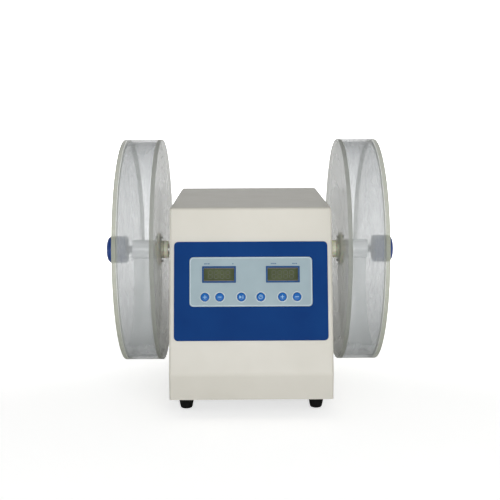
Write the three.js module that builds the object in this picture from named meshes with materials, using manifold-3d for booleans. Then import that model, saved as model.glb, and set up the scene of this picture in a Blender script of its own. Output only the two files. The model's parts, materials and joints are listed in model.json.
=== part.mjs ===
// Tablet friability tester with two drums: a sheet-metal cabinet on rubber feet, a horizontal shaft through
// its side walls and a clear acrylic drum on each end of that shaft.
// Millimetres, +Z up. The origin is on the floor under the middle of the shaft. +X runs along the shaft to
// the user's right, and -Y faces the user.
import * as THREE from "three";
import { mergeVertices } from "three/addons/utils/BufferGeometryUtils.js";
import Module from "manifold-3d";

const wasm = await Module();
wasm.setup();

// ---------------------------------------------------------------- driving dimensions

const gap = 0.3; // clearance between fixed neighbours
const runningGap = 0.3; // radial clearance of a shaft in a ring

const cabinet = {
  width: 200,
  depth: 281,
  aboveShaft: 68, // height of the top face above the middle of the shaft
  apron: 32, // height of the upright strip under the sloping front
  slopeRun: 56, // how far the sloping front leans back from its foot to its top
  axleSetback: 146, // from the front of the cabinet to the shaft
  sheet: 1.5,
  bend: 4,
  rearFlange: 12,
};
const foot = { height: 22, topRadius: 11.4, soleRadius: 7.2, recessRadius: 3.6, recessDepth: 9 };
const footInset = { side: 18.5, front: 36, rear: 30 };
const drum = {
  innerRadius: 143.5,
  wall: 3.5,
  depth: 38, // clear depth between the back plate and the closed cover
  backPlate: 5,
  coverPlate: 5.5,
  spigot: 1.5, // the cover's step, which centres it in the ring
  floorClearance: 35,
  cabinetClearance: 15,
  sides: 60,
};
const slide = { innerRadius: 80.5, thickness: 3, hubAngle: -69, endAngle: -128, steps: 10 };
const shaft = { radius: 6, threadRadius: 5, threadPastCover: 18, wallClearance: 3 };
const hub = { tubeRadius: 12.5, sleeveRadius: 11.5, sleeveInside: 7, sleeveBehind: 5 };
const flange = { radius: 22, thickness: 3.4 };
const flangeScrew = { pitchRadius: 16, radius: 1.5, headRadius: 2.9, headHeight: 2.6, length: 7 };
const knob = { radius: 18, length: 27, capWall: 8, edge: 9 };
const seal = { radius: 16, thickness: 2.2 };
const bearing = { radius: 14, width: 8 };
const housing = { side: 44, depth: 14 };
const gearBoss = { wall: 6, length: 8 };
const gear = { module: 1.5, teeth: 45, pinionTeeth: 15, width: 8, left: 30, thinning: 0.15 };
const motor = { radius: 30, length: 56, bossRadius: 9, bossLength: 4, shaftRadius: 4, shaftLength: 24 };
const bracket = { width: 78, thickness: 2, foot: 24 };
const disc = { radius: 24, thickness: 1.5, notch: 4, notchDepth: 7, boss: 9, fromHousing: 10 };
const sensor = { height: 10, arm: 4, reach: 8, length: 13 };

const panel = { margin: 6, height: 121, foot: 40.5, thickness: 1.2, corner: 5 };
const pad = { width: 150, height: 60.5, foot: 82, corner: 5 };
const lcd = { windowWidth: 39, windowHeight: 18, offset: 39, centre: 121.2, border: 2, depth: 5.3 };
const key = { radius: 5.2, rise: 0.7, travel: 0.6, stem: 2.5, row: 93.6, clearance: 0.4 };
const keyPair = { offset: 47.2, pitch: 18, middlePitch: 23.7 };
const board = { width: 150, height: 62, thickness: 1.6, behind: 7.4, studRadius: 2, studInset: 5 };
const keySwitch = { side: 6, height: 2 };
const powerBoard = { width: 90, depth: 62, thickness: 1.6, standoff: 8, centreX: -38, front: 24 };
const post = { radius: 3, inset: 5 };
const capacitor = { radius: 6, height: 20, pitch: 17, behind: 14 };
const transformer = {
  width: 52,
  depth: 44,
  height: 42,
  centreX: 48,
  limb: 9,
  coilOut: 12, // how far the winding stands out of the core, front and back
  ear: { length: 9, width: 16, thickness: 1.5 },
};

const inlet = { x: 58, z: 78, width: 34, height: 56, flange: 2.2 };
const inletBody = { width: 27, height: 48, depth: 25 };
const socket = { width: 24.4, height: 16.4, depth: 17, fromMiddle: 12, chamfer: 4 };
const pin = { width: 2, height: 4, length: 15, spread: 7, earthRise: 2 };
const fuse = { width: 23, height: 8.4, depth: 18, fromMiddle: -13.5, travel: 12, grip: 3 };
const rocker = { x: 12, width: 13, height: 25, throwAngle: 10, pivotDepth: 4.5 };
const rockerFace = { crown: 3.6, dip: 1.8, heel: 6 };
const rockerFrame = { border: 4, wall: 2, depth: 12.5, endClearance: 0.8 };
const vent = { count: 9, width: 3, height: 46, pitch: 8, z: 180 };
const screw = { radius: 1.5, headRadius: 3.2, headHeight: 2.2, length: 8, inset: 14 };

// ---------------------------------------------------------------- sizes that follow from them

const axleZ = drum.innerRadius + drum.wall + drum.floorClearance;
const cabinetTop = axleZ + cabinet.aboveShaft;
const frontY = -cabinet.axleSetback;
const backY = frontY + cabinet.depth;
const halfWidth = cabinet.width / 2;
const creaseZ = foot.height + cabinet.apron;
const slopeRise = cabinetTop - creaseZ;
const slopeLean = Math.atan2(cabinet.slopeRun, slopeRise);
const insideX = halfWidth - cabinet.sheet;
const floorTop = foot.height + cabinet.sheet;

const drumX = {}; // distances from the middle of the cabinet, the same on both sides
drumX.back = halfWidth + drum.cabinetClearance;
drumX.inside = drumX.back + drum.backPlate;
drumX.spigot = drumX.inside + drum.depth;
drumX.rim = drumX.spigot + drum.spigot;
drumX.face = drumX.rim + drum.coverPlate;
const drumOuterRadius = drum.innerRadius + drum.wall;
const clearRadius = drum.innerRadius * Math.cos(Math.PI / drum.sides); // to the middle of a flat of the ring
const threadEnd = drumX.face + shaft.threadPastCover;

const pinionDistance = (gear.module * (gear.teeth + gear.pinionTeeth)) / 2;
const motorZ = axleZ - pinionDistance;
const bracketX = gear.left - 8; // right face of the motor's mounting plate

// ---------------------------------------------------------------- solids

// A closed geometry as a manifold-3d solid.
function solid(geometry) {
  const bare = geometry.index ? geometry.toNonIndexed() : geometry.clone();
  bare.deleteAttribute("normal");
  bare.deleteAttribute("uv");
  const merged = mergeVertices(bare, 1e-4);
  return new wasm.Manifold(
    new wasm.Mesh({
      numProp: 3,
      vertProperties: merged.attributes.position.array,
      triVerts: new Uint32Array(merged.index.array),
    }),
  );
}

// A solid back as a geometry with flat faces.
function geometryOf(made) {
  const mesh = made.getMesh();
  const points = new Float32Array(mesh.numVert * 3);
  for (let i = 0; i < mesh.numVert; i++) {
    points.set(mesh.vertProperties.subarray(i * mesh.numProp, i * mesh.numProp + 3), i * 3);
  }
  const geometry = new THREE.BufferGeometry();
  geometry.setAttribute("position", new THREE.BufferAttribute(points, 3));
  geometry.setIndex(new THREE.BufferAttribute(new Uint32Array(mesh.triVerts), 1));
  const flat = geometry.toNonIndexed();
  flat.computeVertexNormals();
  return flat;
}

// base, joined with each piece of add and cut by each piece of cut.
function shaped(base, { add = [], cut = [] }) {
  let made = solid(base);
  for (const piece of add) made = made.add(solid(piece));
  for (const piece of cut) made = made.subtract(solid(piece));
  return geometryOf(made);
}

// A box from its low and high corners.
function block(low, high) {
  const size = high.map((h, i) => h - low[i]);
  const middle = high.map((h, i) => (h + low[i]) / 2);
  return new THREE.BoxGeometry(...size).translate(...middle);
}

// The same from its middle and its size.
function centred(middle, size) {
  return new THREE.BoxGeometry(...size).translate(...middle);
}

// The two distances along a side (1 right, -1 left) as coordinates, the lower first.
function span(side, from, to) {
  return side > 0 ? [from, to] : [-to, -from];
}

const alongX = new THREE.Matrix4().makeBasis(
  new THREE.Vector3(0, 1, 0),
  new THREE.Vector3(0, 0, 1),
  new THREE.Vector3(1, 0, 0),
);
const alongY = new THREE.Matrix4().makeBasis(
  new THREE.Vector3(0, 0, 1),
  new THREE.Vector3(1, 0, 0),
  new THREE.Vector3(0, 1, 0),
);

// A cylinder along X, Y or Z ("x", "y", "z") between two distances, centred on the other two coordinates.
function rod(axis, radius, from, to, [a, b] = [0, 0], sides = 16) {
  const made = new THREE.CylinderGeometry(radius, radius, to - from, sides);
  const middle = (from + to) / 2;
  if (axis === "x") return made.rotateZ(-Math.PI / 2).translate(middle, a, b);
  if (axis === "y") return made.translate(a, middle, b);
  return made.rotateX(Math.PI / 2).translate(a, b, middle);
}

// A shape in the (y, z) plane as a prism from one x to another.
function prismX(shape, from, to, curveSegments = 6) {
  const made = new THREE.ExtrudeGeometry(shape, { depth: to - from, bevelEnabled: false, curveSegments });
  return made.applyMatrix4(alongX).translate(from, 0, 0);
}

// A profile of [radius, distance] points turned about X, on the right (side 1) or the left (side -1).
function turnedX(profile, side, sides = 24) {
  const points = profile.map(([radius, distance]) => new THREE.Vector2(radius, distance));
  const made = new THREE.LatheGeometry(points, sides).rotateZ(-Math.PI / 2);
  return side < 0 ? made.rotateZ(Math.PI) : made;
}

// The profile of a plain ring for turnedX.
function ringProfile(inner, outer, from, to) {
  return [
    [inner, from],
    [outer, from],
    [outer, to],
    [inner, to],
    [inner, from],
  ];
}

// A rectangle with round corners, centred on (x, y).
function roundedRectangle(x, y, width, height, corner, Kind = THREE.Shape) {
  const [left, right, low, high] = [x - width / 2, x + width / 2, y - height / 2, y + height / 2];
  const made = new Kind();
  made.moveTo(left + corner, low);
  made.lineTo(right - corner, low);
  made.absarc(right - corner, low + corner, corner, -Math.PI / 2, 0);
  made.lineTo(right, high - corner);
  made.absarc(right - corner, high - corner, corner, 0, Math.PI / 2);
  made.lineTo(left + corner, high);
  made.absarc(left + corner, high - corner, corner, Math.PI / 2, Math.PI);
  made.lineTo(left, low + corner);
  made.absarc(left + corner, low + corner, corner, Math.PI, 1.5 * Math.PI);
  return made;
}

function circle(x, y, radius) {
  return new THREE.Path().absarc(x, y, radius, 0, 2 * Math.PI, true);
}

// ---------------------------------------------------------------- materials

function finish(color, roughness, metalness = 0, opacity = 1) {
  return new THREE.MeshStandardMaterial({ color, roughness, metalness, opacity, transparent: opacity < 1 });
}
const finishes = {
  creamPaint: finish("#dedacd", 0.45),
  bluePanel: finish("#1a428c", 0.35),
  paleMembrane: finish("#a9bcc4", 0.4),
  blueKey: finish("#1c6fb8", 0.3),
  displayGlass: finish("#565c3a", 0.15),
  clearAcrylic: finish("#d4d9d6", 0.08, 0, 0.35),
  nylon: finish("#c3c19c", 0.5),
  blueKnob: finish("#22458a", 0.3),
  steel: finish("#b9bbbd", 0.3, 1),
  darkSteel: finish("#4a4b4c", 0.45, 1),
  zincPlate: finish("#a9acae", 0.4, 1),
  rubber: finish("#1d1d1d", 0.8),
  blackPlastic: finish("#202124", 0.45),
  circuitBoard: finish("#245a3a", 0.5),
  transformerSteel: finish("#6b6d70", 0.5, 1),
  gearPlastic: finish("#e4dfcf", 0.5),
};

const model = new THREE.Group();
model.name = "friability_tester";

function place(name, geometry, material, parent = model) {
  const mesh = new THREE.Mesh(geometry, material);
  mesh.name = name;
  parent.add(mesh);
  return mesh;
}

// ---------------------------------------------------------------- the sloping front

// Local x is the cabinet's x, local y runs up the slope from the crease and local z points out of it.
const slope = new THREE.Group();
slope.position.set(0, frontY, creaseZ);
slope.rotation.x = Math.PI / 2 - slopeLean;
slope.updateMatrix();
model.add(slope);

function onSlope(geometry) {
  return geometry.applyMatrix4(slope.matrix);
}

const keyPlaces = [-1, 1].flatMap((side) => [
  side * keyPair.offset - keyPair.pitch / 2,
  side * keyPair.offset + keyPair.pitch / 2,
]);
keyPlaces.splice(2, 0, -keyPair.middlePitch / 2, keyPair.middlePitch / 2);
const displayPlaces = { left: -lcd.offset, right: lcd.offset };

const padCentre = pad.foot + pad.height / 2;
const boardCentre = padCentre;
const boardStuds = [-1, 1].flatMap((side) =>
  [-1, 1].map((end) => [
    side * (board.width / 2 - board.studInset),
    boardCentre + end * (board.height / 2 - board.studInset),
  ]),
);

// ---------------------------------------------------------------- cabinet

// The cabinet's outline in (y, z), each edge moved in by its own distance: apron, slope, top, back, bottom.
function cabinetOutline([apron, front, top, back, bottom], bend) {
  const lean = new THREE.Vector2(cabinet.slopeRun, slopeRise).normalize();
  const topZ = cabinetTop - top;
  const slopeShift = front / lean.y; // how far back the slope moves, measured level
  const slopeY = (z) => frontY + slopeShift + ((z - creaseZ) * cabinet.slopeRun) / slopeRise;
  const apronY = frontY + apron;
  const foldZ = creaseZ + ((apronY - frontY - slopeShift) * slopeRise) / cabinet.slopeRun;
  const corners = [
    [backY - back, foot.height + bottom, 0],
    [backY - back, topZ, bend],
    [slopeY(topZ), topZ, bend],
    [apronY, foldZ, bend],
    [apronY, foot.height + bottom, 0],
  ].map(([y, z, radius]) => ({ at: new THREE.Vector2(y, z), radius }));
  const outline = new THREE.Shape();
  corners.forEach(({ at, radius }, i) => {
    const before = corners[(i + corners.length - 1) % corners.length].at;
    const after = corners[(i + 1) % corners.length].at;
    const start = at.clone().add(before.clone().sub(at).setLength(radius));
    const end = at.clone().add(after.clone().sub(at).setLength(radius));
    if (i === 0) outline.moveTo(start.x, start.y);
    else outline.lineTo(start.x, start.y);
    if (radius > 0) outline.quadraticCurveTo(at.x, at.y, end.x, end.y);
  });
  outline.closePath();
  return outline;
}

function rearFlanges() {
  const rear = backY - cabinet.sheet - gap;
  return [-1, 1].map((side) =>
    block(
      [side > 0 ? insideX - cabinet.rearFlange : -halfWidth + gap, rear - cabinet.sheet, floorTop + gap],
      [side > 0 ? halfWidth - gap : -insideX + cabinet.rearFlange, rear, cabinetTop - cabinet.sheet / 2],
    ),
  );
}

const rearScrews = [-1, 1].flatMap((side) =>
  [floorTop + screw.inset, cabinetTop - cabinet.sheet - screw.inset].map((z) => [
    side * (insideX - cabinet.rearFlange / 2),
    z,
  ]),
);

function cabinetShell() {
  const past = 5; // the inside runs past the open back and bottom by this much
  const sheet = cabinet.sheet;
  const outside = prismX(cabinetOutline([0, 0, 0, 0, 0], cabinet.bend), -halfWidth, halfWidth, 4);
  const insideOutline = cabinetOutline([sheet, sheet, sheet, -past, -past], cabinet.bend - sheet);
  const inside = prismX(insideOutline, -insideX, insideX, 4);
  const through = sheet + 2;
  const windowSize = [lcd.windowWidth + lcd.border, lcd.windowHeight + lcd.border, 2 * through];
  const windows = Object.values(displayPlaces).map((x) => onSlope(centred([x, lcd.centre, 0], windowSize)));
  const keyHoles = keyPlaces.map((x) =>
    onSlope(rod("z", key.stem + 1, -through, 1, [x, key.row], 12)),
  );
  const studs = boardStuds.map(([x, y]) =>
    onSlope(rod("z", board.studRadius, -board.behind - board.thickness - 2, -sheet / 2, [x, y], 12)),
  );
  const shaftHoles = [-1, 1].map((side) =>
    rod("x", shaft.radius + shaft.wallClearance, ...span(side, insideX - 1, halfWidth + 1), [0, axleZ], 20),
  );
  const screwHoles = rearScrews.map(([x, z]) =>
    rod("y", screw.radius + gap, backY - cabinet.rearFlange, backY + past, [x, z], 12),
  );
  const hollow = shaped(outside, { cut: [inside] });
  return shaped(hollow, {
    add: [...rearFlanges(), ...studs],
    cut: [...windows, ...keyHoles, ...shaftHoles, ...screwHoles],
  });
}

const footPlaces = {
  front_left: [footInset.side - halfWidth, frontY + footInset.front],
  front_right: [halfWidth - footInset.side, frontY + footInset.front],
  rear_left: [footInset.side - halfWidth, backY - footInset.rear],
  rear_right: [halfWidth - footInset.side, backY - footInset.rear],
};

const powerBoardY = frontY + powerBoard.front + powerBoard.depth / 2;
const powerPosts = [-1, 1].flatMap((side) =>
  [-1, 1].map((end) => [
    powerBoard.centreX + side * (powerBoard.width / 2 - post.inset),
    powerBoardY + end * (powerBoard.depth / 2 - post.inset),
  ]),
);

function basePlate() {
  const edge = insideX - gap;
  const front = frontY + cabinet.sheet + gap;
  const back = backY - cabinet.sheet - cabinet.sheet - 2 * gap;
  const plate = block([-edge, front, foot.height], [edge, back, floorTop]);
  const lips = [-1, 1].map((side) =>
    block(
      [side > 0 ? edge - cabinet.sheet : -edge, front + 12, foot.height + cabinet.sheet / 2],
      [side > 0 ? edge : -edge + cabinet.sheet, back - 3, floorTop + 9],
    ),
  );
  const posts = powerPosts.map(([x, y]) =>
    rod("z", post.radius, foot.height + cabinet.sheet / 2, floorTop + powerBoard.standoff, [x, y], 10),
  );
  return shaped(plate, { add: [...lips, ...posts] });
}

function rearPanel() {
  const edge = insideX - gap;
  const [front, back] = [backY - cabinet.sheet, backY];
  const plate = block([-edge, front, foot.height], [edge, back, cabinetTop - cabinet.sheet - gap]);
  const opening = (x, z, width, height) =>
    centred([x, (front + back) / 2, z], [width + 2 * gap, 2 * cabinet.sheet, height + 2 * gap]);
  const slots = Array.from({ length: vent.count }, (_, i) =>
    opening((i - (vent.count - 1) / 2) * vent.pitch, vent.z, vent.width, vent.height),
  );
  const holes = rearScrews.map(([x, z]) => rod("y", screw.radius + gap, front - 1, back + 1, [x, z], 12));
  return shaped(plate, {
    cut: [
      opening(inlet.x, inlet.z, inletBody.width, inletBody.height),
      opening(rocker.x, inlet.z, rocker.width + 2 * rockerFrame.wall, rocker.height + 2 * rockerFrame.wall),
      ...slots,
      ...holes,
    ],
  });
}

function rubberFoot([x, y]) {
  const bodyTop = foot.height - gap;
  const round = 2;
  const profile = [
    [0, foot.recessDepth],
    [foot.recessRadius, foot.recessDepth],
    [foot.recessRadius, 0],
    [foot.soleRadius - round / 2, 0],
    [foot.soleRadius + round / 4, round],
    [foot.topRadius, bodyTop],
    [0, bodyTop],
  ].map(([radius, z]) => new THREE.Vector2(radius, z));
  return new THREE.LatheGeometry(profile, 20).rotateX(Math.PI / 2).translate(x, y, 0);
}

function rearScrew([x, z]) {
  const head = backY + gap;
  return shaped(rod("y", screw.headRadius, head, head + screw.headHeight, [x, z], 16), {
    add: [rod("y", screw.radius, head - screw.length, head + 0.5, [x, z], 12)],
    cut: [
      block([x - 2, head + screw.headHeight - 0.9, z - 0.4], [x + 2, head + screw.headHeight + 1, z + 0.4]),
      block([x - 0.4, head + screw.headHeight - 0.9, z - 2], [x + 0.4, head + screw.headHeight + 1, z + 2]),
    ],
  });
}

place("cabinet_shell", cabinetShell(), finishes.creamPaint);
place("base_plate", basePlate(), finishes.zincPlate);
place("rear_panel", rearPanel(), finishes.creamPaint);
for (const [name, at] of Object.entries(footPlaces)) place(`foot_${name}`, rubberFoot(at), finishes.rubber);
rearScrews.forEach((at, i) => place(`rear_screw_${i + 1}`, rearScrew(at), finishes.steel));

// ---------------------------------------------------------------- control panel, on the slope

const panelTop = gap + panel.thickness;

function extruded(shape, from, to, curveSegments = 5) {
  const options = { depth: to - from, bevelEnabled: false, curveSegments };
  return new THREE.ExtrudeGeometry(shape, options).translate(0, 0, from);
}

function controlPanel() {
  const width = cabinet.width - 2 * panel.margin;
  const outline = roundedRectangle(0, panel.foot + panel.height / 2, width, panel.height, panel.corner);
  outline.holes.push(
    roundedRectangle(0, padCentre, pad.width + 2 * gap, pad.height + 2 * gap, pad.corner + gap, THREE.Path),
  );
  return extruded(outline, gap, panelTop);
}

function keypadMembrane() {
  const sheet = extruded(roundedRectangle(0, padCentre, pad.width, pad.height, pad.corner), gap, panelTop);
  const windows = Object.values(displayPlaces).map((x) =>
    centred([x, lcd.centre, panelTop / 2], [lcd.windowWidth, lcd.windowHeight, 2 * panelTop]),
  );
  const keyHoles = keyPlaces.map((x) => rod("z", key.radius + key.clearance, 0, panelTop + 1, [x, key.row]));
  return shaped(sheet, { cut: [...windows, ...keyHoles] });
}

function display(x) {
  const face = -cabinet.sheet - gap;
  const size = [lcd.windowWidth + 4 * lcd.border, lcd.windowHeight + 3 * lcd.border, lcd.depth];
  return centred([x, lcd.centre, face - lcd.depth / 2], size);
}

function controlBoard() {
  const top = -board.behind;
  const size = [board.width, board.height, board.thickness];
  const plate = centred([0, boardCentre, top - board.thickness / 2], size);
  const switches = keyPlaces.map((x) =>
    centred([x, key.row, top], [keySwitch.side, keySwitch.side, 2 * keySwitch.height]),
  );
  const processor = centred([0, lcd.centre, top - board.thickness - 1], [24, 18, 3]);
  const holes = boardStuds.map(([x, y]) =>
    rod("z", board.studRadius + gap, top - board.thickness - 1, top + 1, [x, y], 12),
  );
  return shaped(plate, { add: [...switches, processor], cut: holes });
}

function keyCap(x) {
  const capFoot = gap + key.travel;
  const stemFoot = -board.behind + keySwitch.height + key.travel + 0.1;
  const profile = [
    [0, stemFoot],
    [key.stem, stemFoot],
    [key.stem, capFoot],
    [key.radius, capFoot],
    [key.radius, panelTop + key.rise * 0.6],
    [key.radius - 0.6, panelTop + key.rise],
    [0, panelTop + key.rise],
  ].map(([radius, z]) => new THREE.Vector2(radius, z));
  return new THREE.LatheGeometry(profile, 16).rotateX(Math.PI / 2).translate(x, key.row, 0);
}

place("control_panel", controlPanel(), finishes.bluePanel, slope);
place("keypad_membrane", keypadMembrane(), finishes.paleMembrane, slope);
for (const [name, x] of Object.entries(displayPlaces)) {
  place(`display_${name}`, display(x), finishes.displayGlass, slope);
}
place("control_board", controlBoard(), finishes.circuitBoard, slope);
keyPlaces.forEach((x, i) => place(`key_${i + 1}`, keyCap(x), finishes.blueKey, slope));

// ---------------------------------------------------------------- drive and electronics

// The outline of a spur gear with involute flanks, with a tooth centred on the angle phase.
function gearOutline(teeth, bore, phase) {
  const pressure = (20 * Math.PI) / 180;
  const pitch = (gear.module * teeth) / 2;
  const base = pitch * Math.cos(pressure);
  const root = pitch - 1.25 * gear.module;
  const tip = pitch + gear.module;
  const involute = (angle) => Math.tan(angle) - angle;
  const halfTooth = Math.PI / (2 * teeth) - gear.thinning / (2 * pitch);
  const flankAngle = (radius) => {
    const at = Math.max(radius, base);
    return halfTooth + involute(pressure) - involute(Math.acos(base / at));
  };
  const radii = base > root ? [root, base, pitch, tip] : [root, pitch, tip];
  const outline = new THREE.Shape();
  for (let tooth = 0; tooth < teeth; tooth++) {
    const centre = phase + (2 * Math.PI * tooth) / teeth;
    const rising = radii.map((radius) => [radius, centre - flankAngle(radius)]);
    const falling = [...radii].reverse().map((radius) => [radius, centre + flankAngle(radius)]);
    for (const [radius, angle] of [...rising, ...falling]) {
      const [y, z] = [radius * Math.cos(angle), radius * Math.sin(angle)];
      if (outline.curves.length || outline.currentPoint.length()) outline.lineTo(y, z);
      else outline.moveTo(y, z);
    }
  }
  outline.closePath();
  outline.holes.push(circle(0, 0, bore));
  return outline;
}

function drivenGear() {
  const bore = shaft.radius + gap;
  const down = -Math.PI / 2;
  const outline = gearOutline(gear.teeth, bore, down + Math.PI / gear.teeth);
  const rim = prismX(outline, gear.left, gear.left + gear.width);
  const bossEnd = gear.left + gear.width + gearBoss.length;
  const boss = turnedX(ringProfile(bore, shaft.radius + gearBoss.wall, gear.left + 1, bossEnd), 1);
  return shaped(rim, { add: [boss] }).translate(0, 0, axleZ);
}

function motorPinion() {
  const bore = motor.shaftRadius + gap;
  const outline = gearOutline(gear.pinionTeeth, bore, Math.PI / 2);
  return prismX(outline, gear.left - 0.5, gear.left + gear.width + 0.5).translate(0, 0, motorZ);
}

function gearMotor() {
  const front = bracketX - bracket.thickness - gap;
  const bore = motor.shaftRadius + runningGap;
  const boreEnd = bracketX - motor.shaftLength + 10 - gap;
  const can = rod("x", motor.radius, front - motor.length, front, [0, motorZ], 24);
  const boss = rod("x", motor.bossRadius, front - 1, front + motor.bossLength, [0, motorZ], 24);
  const terminals = centred([front - motor.length + 12, motor.radius, motorZ], [16, 11, 16]);
  return shaped(can, {
    add: [boss, terminals],
    cut: [rod("x", bore, boreEnd, front + motor.bossLength + 1, [0, motorZ], 20)],
  });
}

function motorShaft() {
  const end = gear.left + gear.width + 2;
  const start = bracketX - motor.shaftLength + 10;
  return rod("x", motor.shaftRadius, start, end, [0, motorZ], 20);
}

function motorBracket() {
  const [left, right] = [bracketX - bracket.thickness, bracketX];
  const half = bracket.width / 2;
  const low = floorTop + gap;
  const plate = block([left, -half, low], [right, half, motorZ + motor.radius - 4]);
  const shelf = block([left, -half, low], [right + bracket.foot, half, low + bracket.thickness]);
  return shaped(plate, {
    add: [shelf],
    cut: [rod("x", motor.bossRadius + gap, left - 1, right + 1, [0, motorZ], 24)],
  });
}

function bearingHousing(side) {
  const outer = insideX - gap;
  const inner = outer - housing.depth;
  const half = housing.side / 2;
  const [low, high] = span(side, inner, outer);
  const seat = span(side, inner - 1, inner + bearing.width + 1);
  return shaped(block([low, -half, axleZ - half], [high, half, axleZ + half]), {
    cut: [
      rod("x", bearing.radius + gap, seat[0], seat[1], [0, axleZ], 24),
      rod("x", shaft.radius + shaft.wallClearance, low - 1, high + 1, [0, axleZ], 20),
    ],
  });
}

function bearingRing(side) {
  const inner = insideX - gap - housing.depth;
  const [from, to] = [inner + gap, inner + gap + bearing.width];
  const [bore, outer] = [shaft.radius + runningGap, bearing.radius];
  const [shieldIn, shieldOut] = [bore + 1.8, outer - 1.8];
  const profile = [
    [bore, from],
    [shieldIn, from],
    [shieldIn, from + 0.6],
    [shieldOut, from + 0.6],
    [shieldOut, from],
    [outer, from],
    [outer, to],
    [bore, to],
    [bore, from],
  ];
  return turnedX(profile, side).translate(0, 0, axleZ);
}

function shaftSeal(side) {
  const [from, to] = [halfWidth + gap, halfWidth + gap + seal.thickness];
  const bore = shaft.radius + runningGap;
  const profile = [
    [bore, from],
    [seal.radius, from],
    [seal.radius, to - 1],
    [seal.radius - 1, to],
    [bore, to],
    [bore, from],
  ];
  return turnedX(profile, side).translate(0, 0, axleZ);
}

// The counting disc and the slotted sensor that its rim runs through, beside the left bearing housing.
const discRight = -(insideX - gap - housing.depth - disc.fromHousing);

function counterDisc() {
  const bore = shaft.radius + gap;
  const left = discRight - disc.thickness;
  const plate = turnedX(ringProfile(bore, disc.radius, left, discRight), 1, 36);
  const boss = turnedX(ringProfile(bore, disc.boss, discRight - 0.5, discRight + 7), 1, 24);
  const notchSize = [2 * disc.thickness, disc.notch, 2 * disc.notchDepth];
  const notch = centred([left + disc.thickness / 2, 0, disc.radius], notchSize);
  return shaped(plate, { add: [boss], cut: [notch] }).translate(0, 0, axleZ);
}

function turnSensor() {
  const wall = -(insideX - gap - housing.depth) + gap;
  const slot = disc.thickness + 4;
  const middle = discRight - disc.thickness / 2;
  const near = -(disc.radius - sensor.reach + 1);
  const body = block(
    [wall, near - sensor.length, axleZ - sensor.height / 2],
    [middle + slot / 2 + sensor.arm, near, axleZ + sensor.height / 2],
  );
  const cutSlot = block(
    [middle - slot / 2, -disc.radius - 1, axleZ - sensor.height],
    [middle + slot / 2, near + 1, axleZ + sensor.height],
  );
  return shaped(body, { cut: [cutSlot] });
}

function powerSupplyBoard() {
  const low = floorTop + powerBoard.standoff + gap;
  const top = low + powerBoard.thickness;
  const [x, y] = [powerBoard.centreX, powerBoardY];
  const size = [powerBoard.width, powerBoard.depth, powerBoard.thickness];
  const plate = centred([x, y, (low + top) / 2], size);
  const capacitors = [-1, 0, 1].map((i) => {
    const at = [x + i * capacitor.pitch, y + capacitor.behind];
    return rod("z", capacitor.radius, top - 0.5, top + capacitor.height, at);
  });
  const relay = centred([x - 25, y - 15, top + 7], [22, 18, 16]);
  const heatSink = centred([x + 23, y - 19, top + 12], [30, 10, 25]);
  return shaped(plate, { add: [...capacitors, relay, heatSink] });
}

function mainsTransformer() {
  const [x, y] = [transformer.centreX, powerBoardY];
  const { width, depth, height, limb, coilOut, ear } = transformer;
  const low = floorTop + gap;
  const middle = [x, y, low + height / 2];
  const core = centred(middle, [width, depth - 2 * coilOut, height]);
  const coil = centred(middle, [width - 2 * limb, depth, height - 1.6 * limb]);
  const ears = centred([x, y, low + ear.thickness / 2], [width + 2 * ear.length, ear.width, ear.thickness]);
  return shaped(core, { add: [coil, ears] });
}

place("gear_motor", gearMotor(), finishes.zincPlate);
place("motor_bracket", motorBracket(), finishes.zincPlate);
place("motor_shaft", motorShaft(), finishes.steel);
place("motor_pinion", motorPinion(), finishes.steel);
place("driven_gear", drivenGear(), finishes.gearPlastic);
for (const [name, side] of [["left", -1], ["right", 1]]) {
  place(`bearing_housing_${name}`, bearingHousing(side), finishes.zincPlate);
  place(`bearing_${name}`, bearingRing(side), finishes.steel);
  place(`shaft_seal_${name}`, shaftSeal(side), finishes.nylon);
}
place("counter_disc", counterDisc(), finishes.blackPlastic);
place("turn_sensor", turnSensor(), finishes.blackPlastic);
place("power_board", powerSupplyBoard(), finishes.circuitBoard);
place("transformer", mainsTransformer(), finishes.transformerSteel);

// ---------------------------------------------------------------- mains inlet, fuse drawer and switch

function mainsInlet() {
  const face = backY + gap + inlet.flange;
  const [x, z] = [inlet.x, inlet.z];
  const flange = block(
    [x - inlet.width / 2, backY + gap, z - inlet.height / 2],
    [x + inlet.width / 2, face, z + inlet.height / 2],
  );
  const body = block(
    [x - inletBody.width / 2, face - inletBody.depth, z - inletBody.height / 2],
    [x + inletBody.width / 2, face - 1, z + inletBody.height / 2],
  );
  const socketZ = z + socket.fromMiddle;
  const [halfX, halfZ] = [socket.width / 2, socket.height / 2];
  const mouth = new THREE.Shape();
  mouth.moveTo(socketZ - halfZ, x - halfX);
  mouth.lineTo(socketZ + halfZ - socket.chamfer, x - halfX);
  mouth.lineTo(socketZ + halfZ, x - halfX + socket.chamfer);
  mouth.lineTo(socketZ + halfZ, x + halfX - socket.chamfer);
  mouth.lineTo(socketZ + halfZ - socket.chamfer, x + halfX);
  mouth.lineTo(socketZ - halfZ, x + halfX);
  mouth.closePath();
  const options = { depth: socket.depth + 1, bevelEnabled: false };
  const cavity = new THREE.ExtrudeGeometry(mouth, options).applyMatrix4(alongY);
  cavity.translate(0, face - socket.depth, 0);
  const drawer = centred(
    [x, face, z + fuse.fromMiddle],
    [fuse.width + 2 * gap, 2 * (fuse.depth + gap), fuse.height + 2 * gap],
  );
  const pinY = face - socket.depth + pin.length / 2 - 0.5;
  const pins = [
    [-pin.spread, -pin.earthRise],
    [0, pin.earthRise],
    [pin.spread, -pin.earthRise],
  ].map(([dx, dz]) => centred([x + dx, pinY, socketZ + dz], [pin.width, pin.length + 1, pin.height]));
  const hollow = shaped(flange, { add: [body], cut: [cavity, drawer] });
  return shaped(hollow, { add: pins });
}

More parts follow.
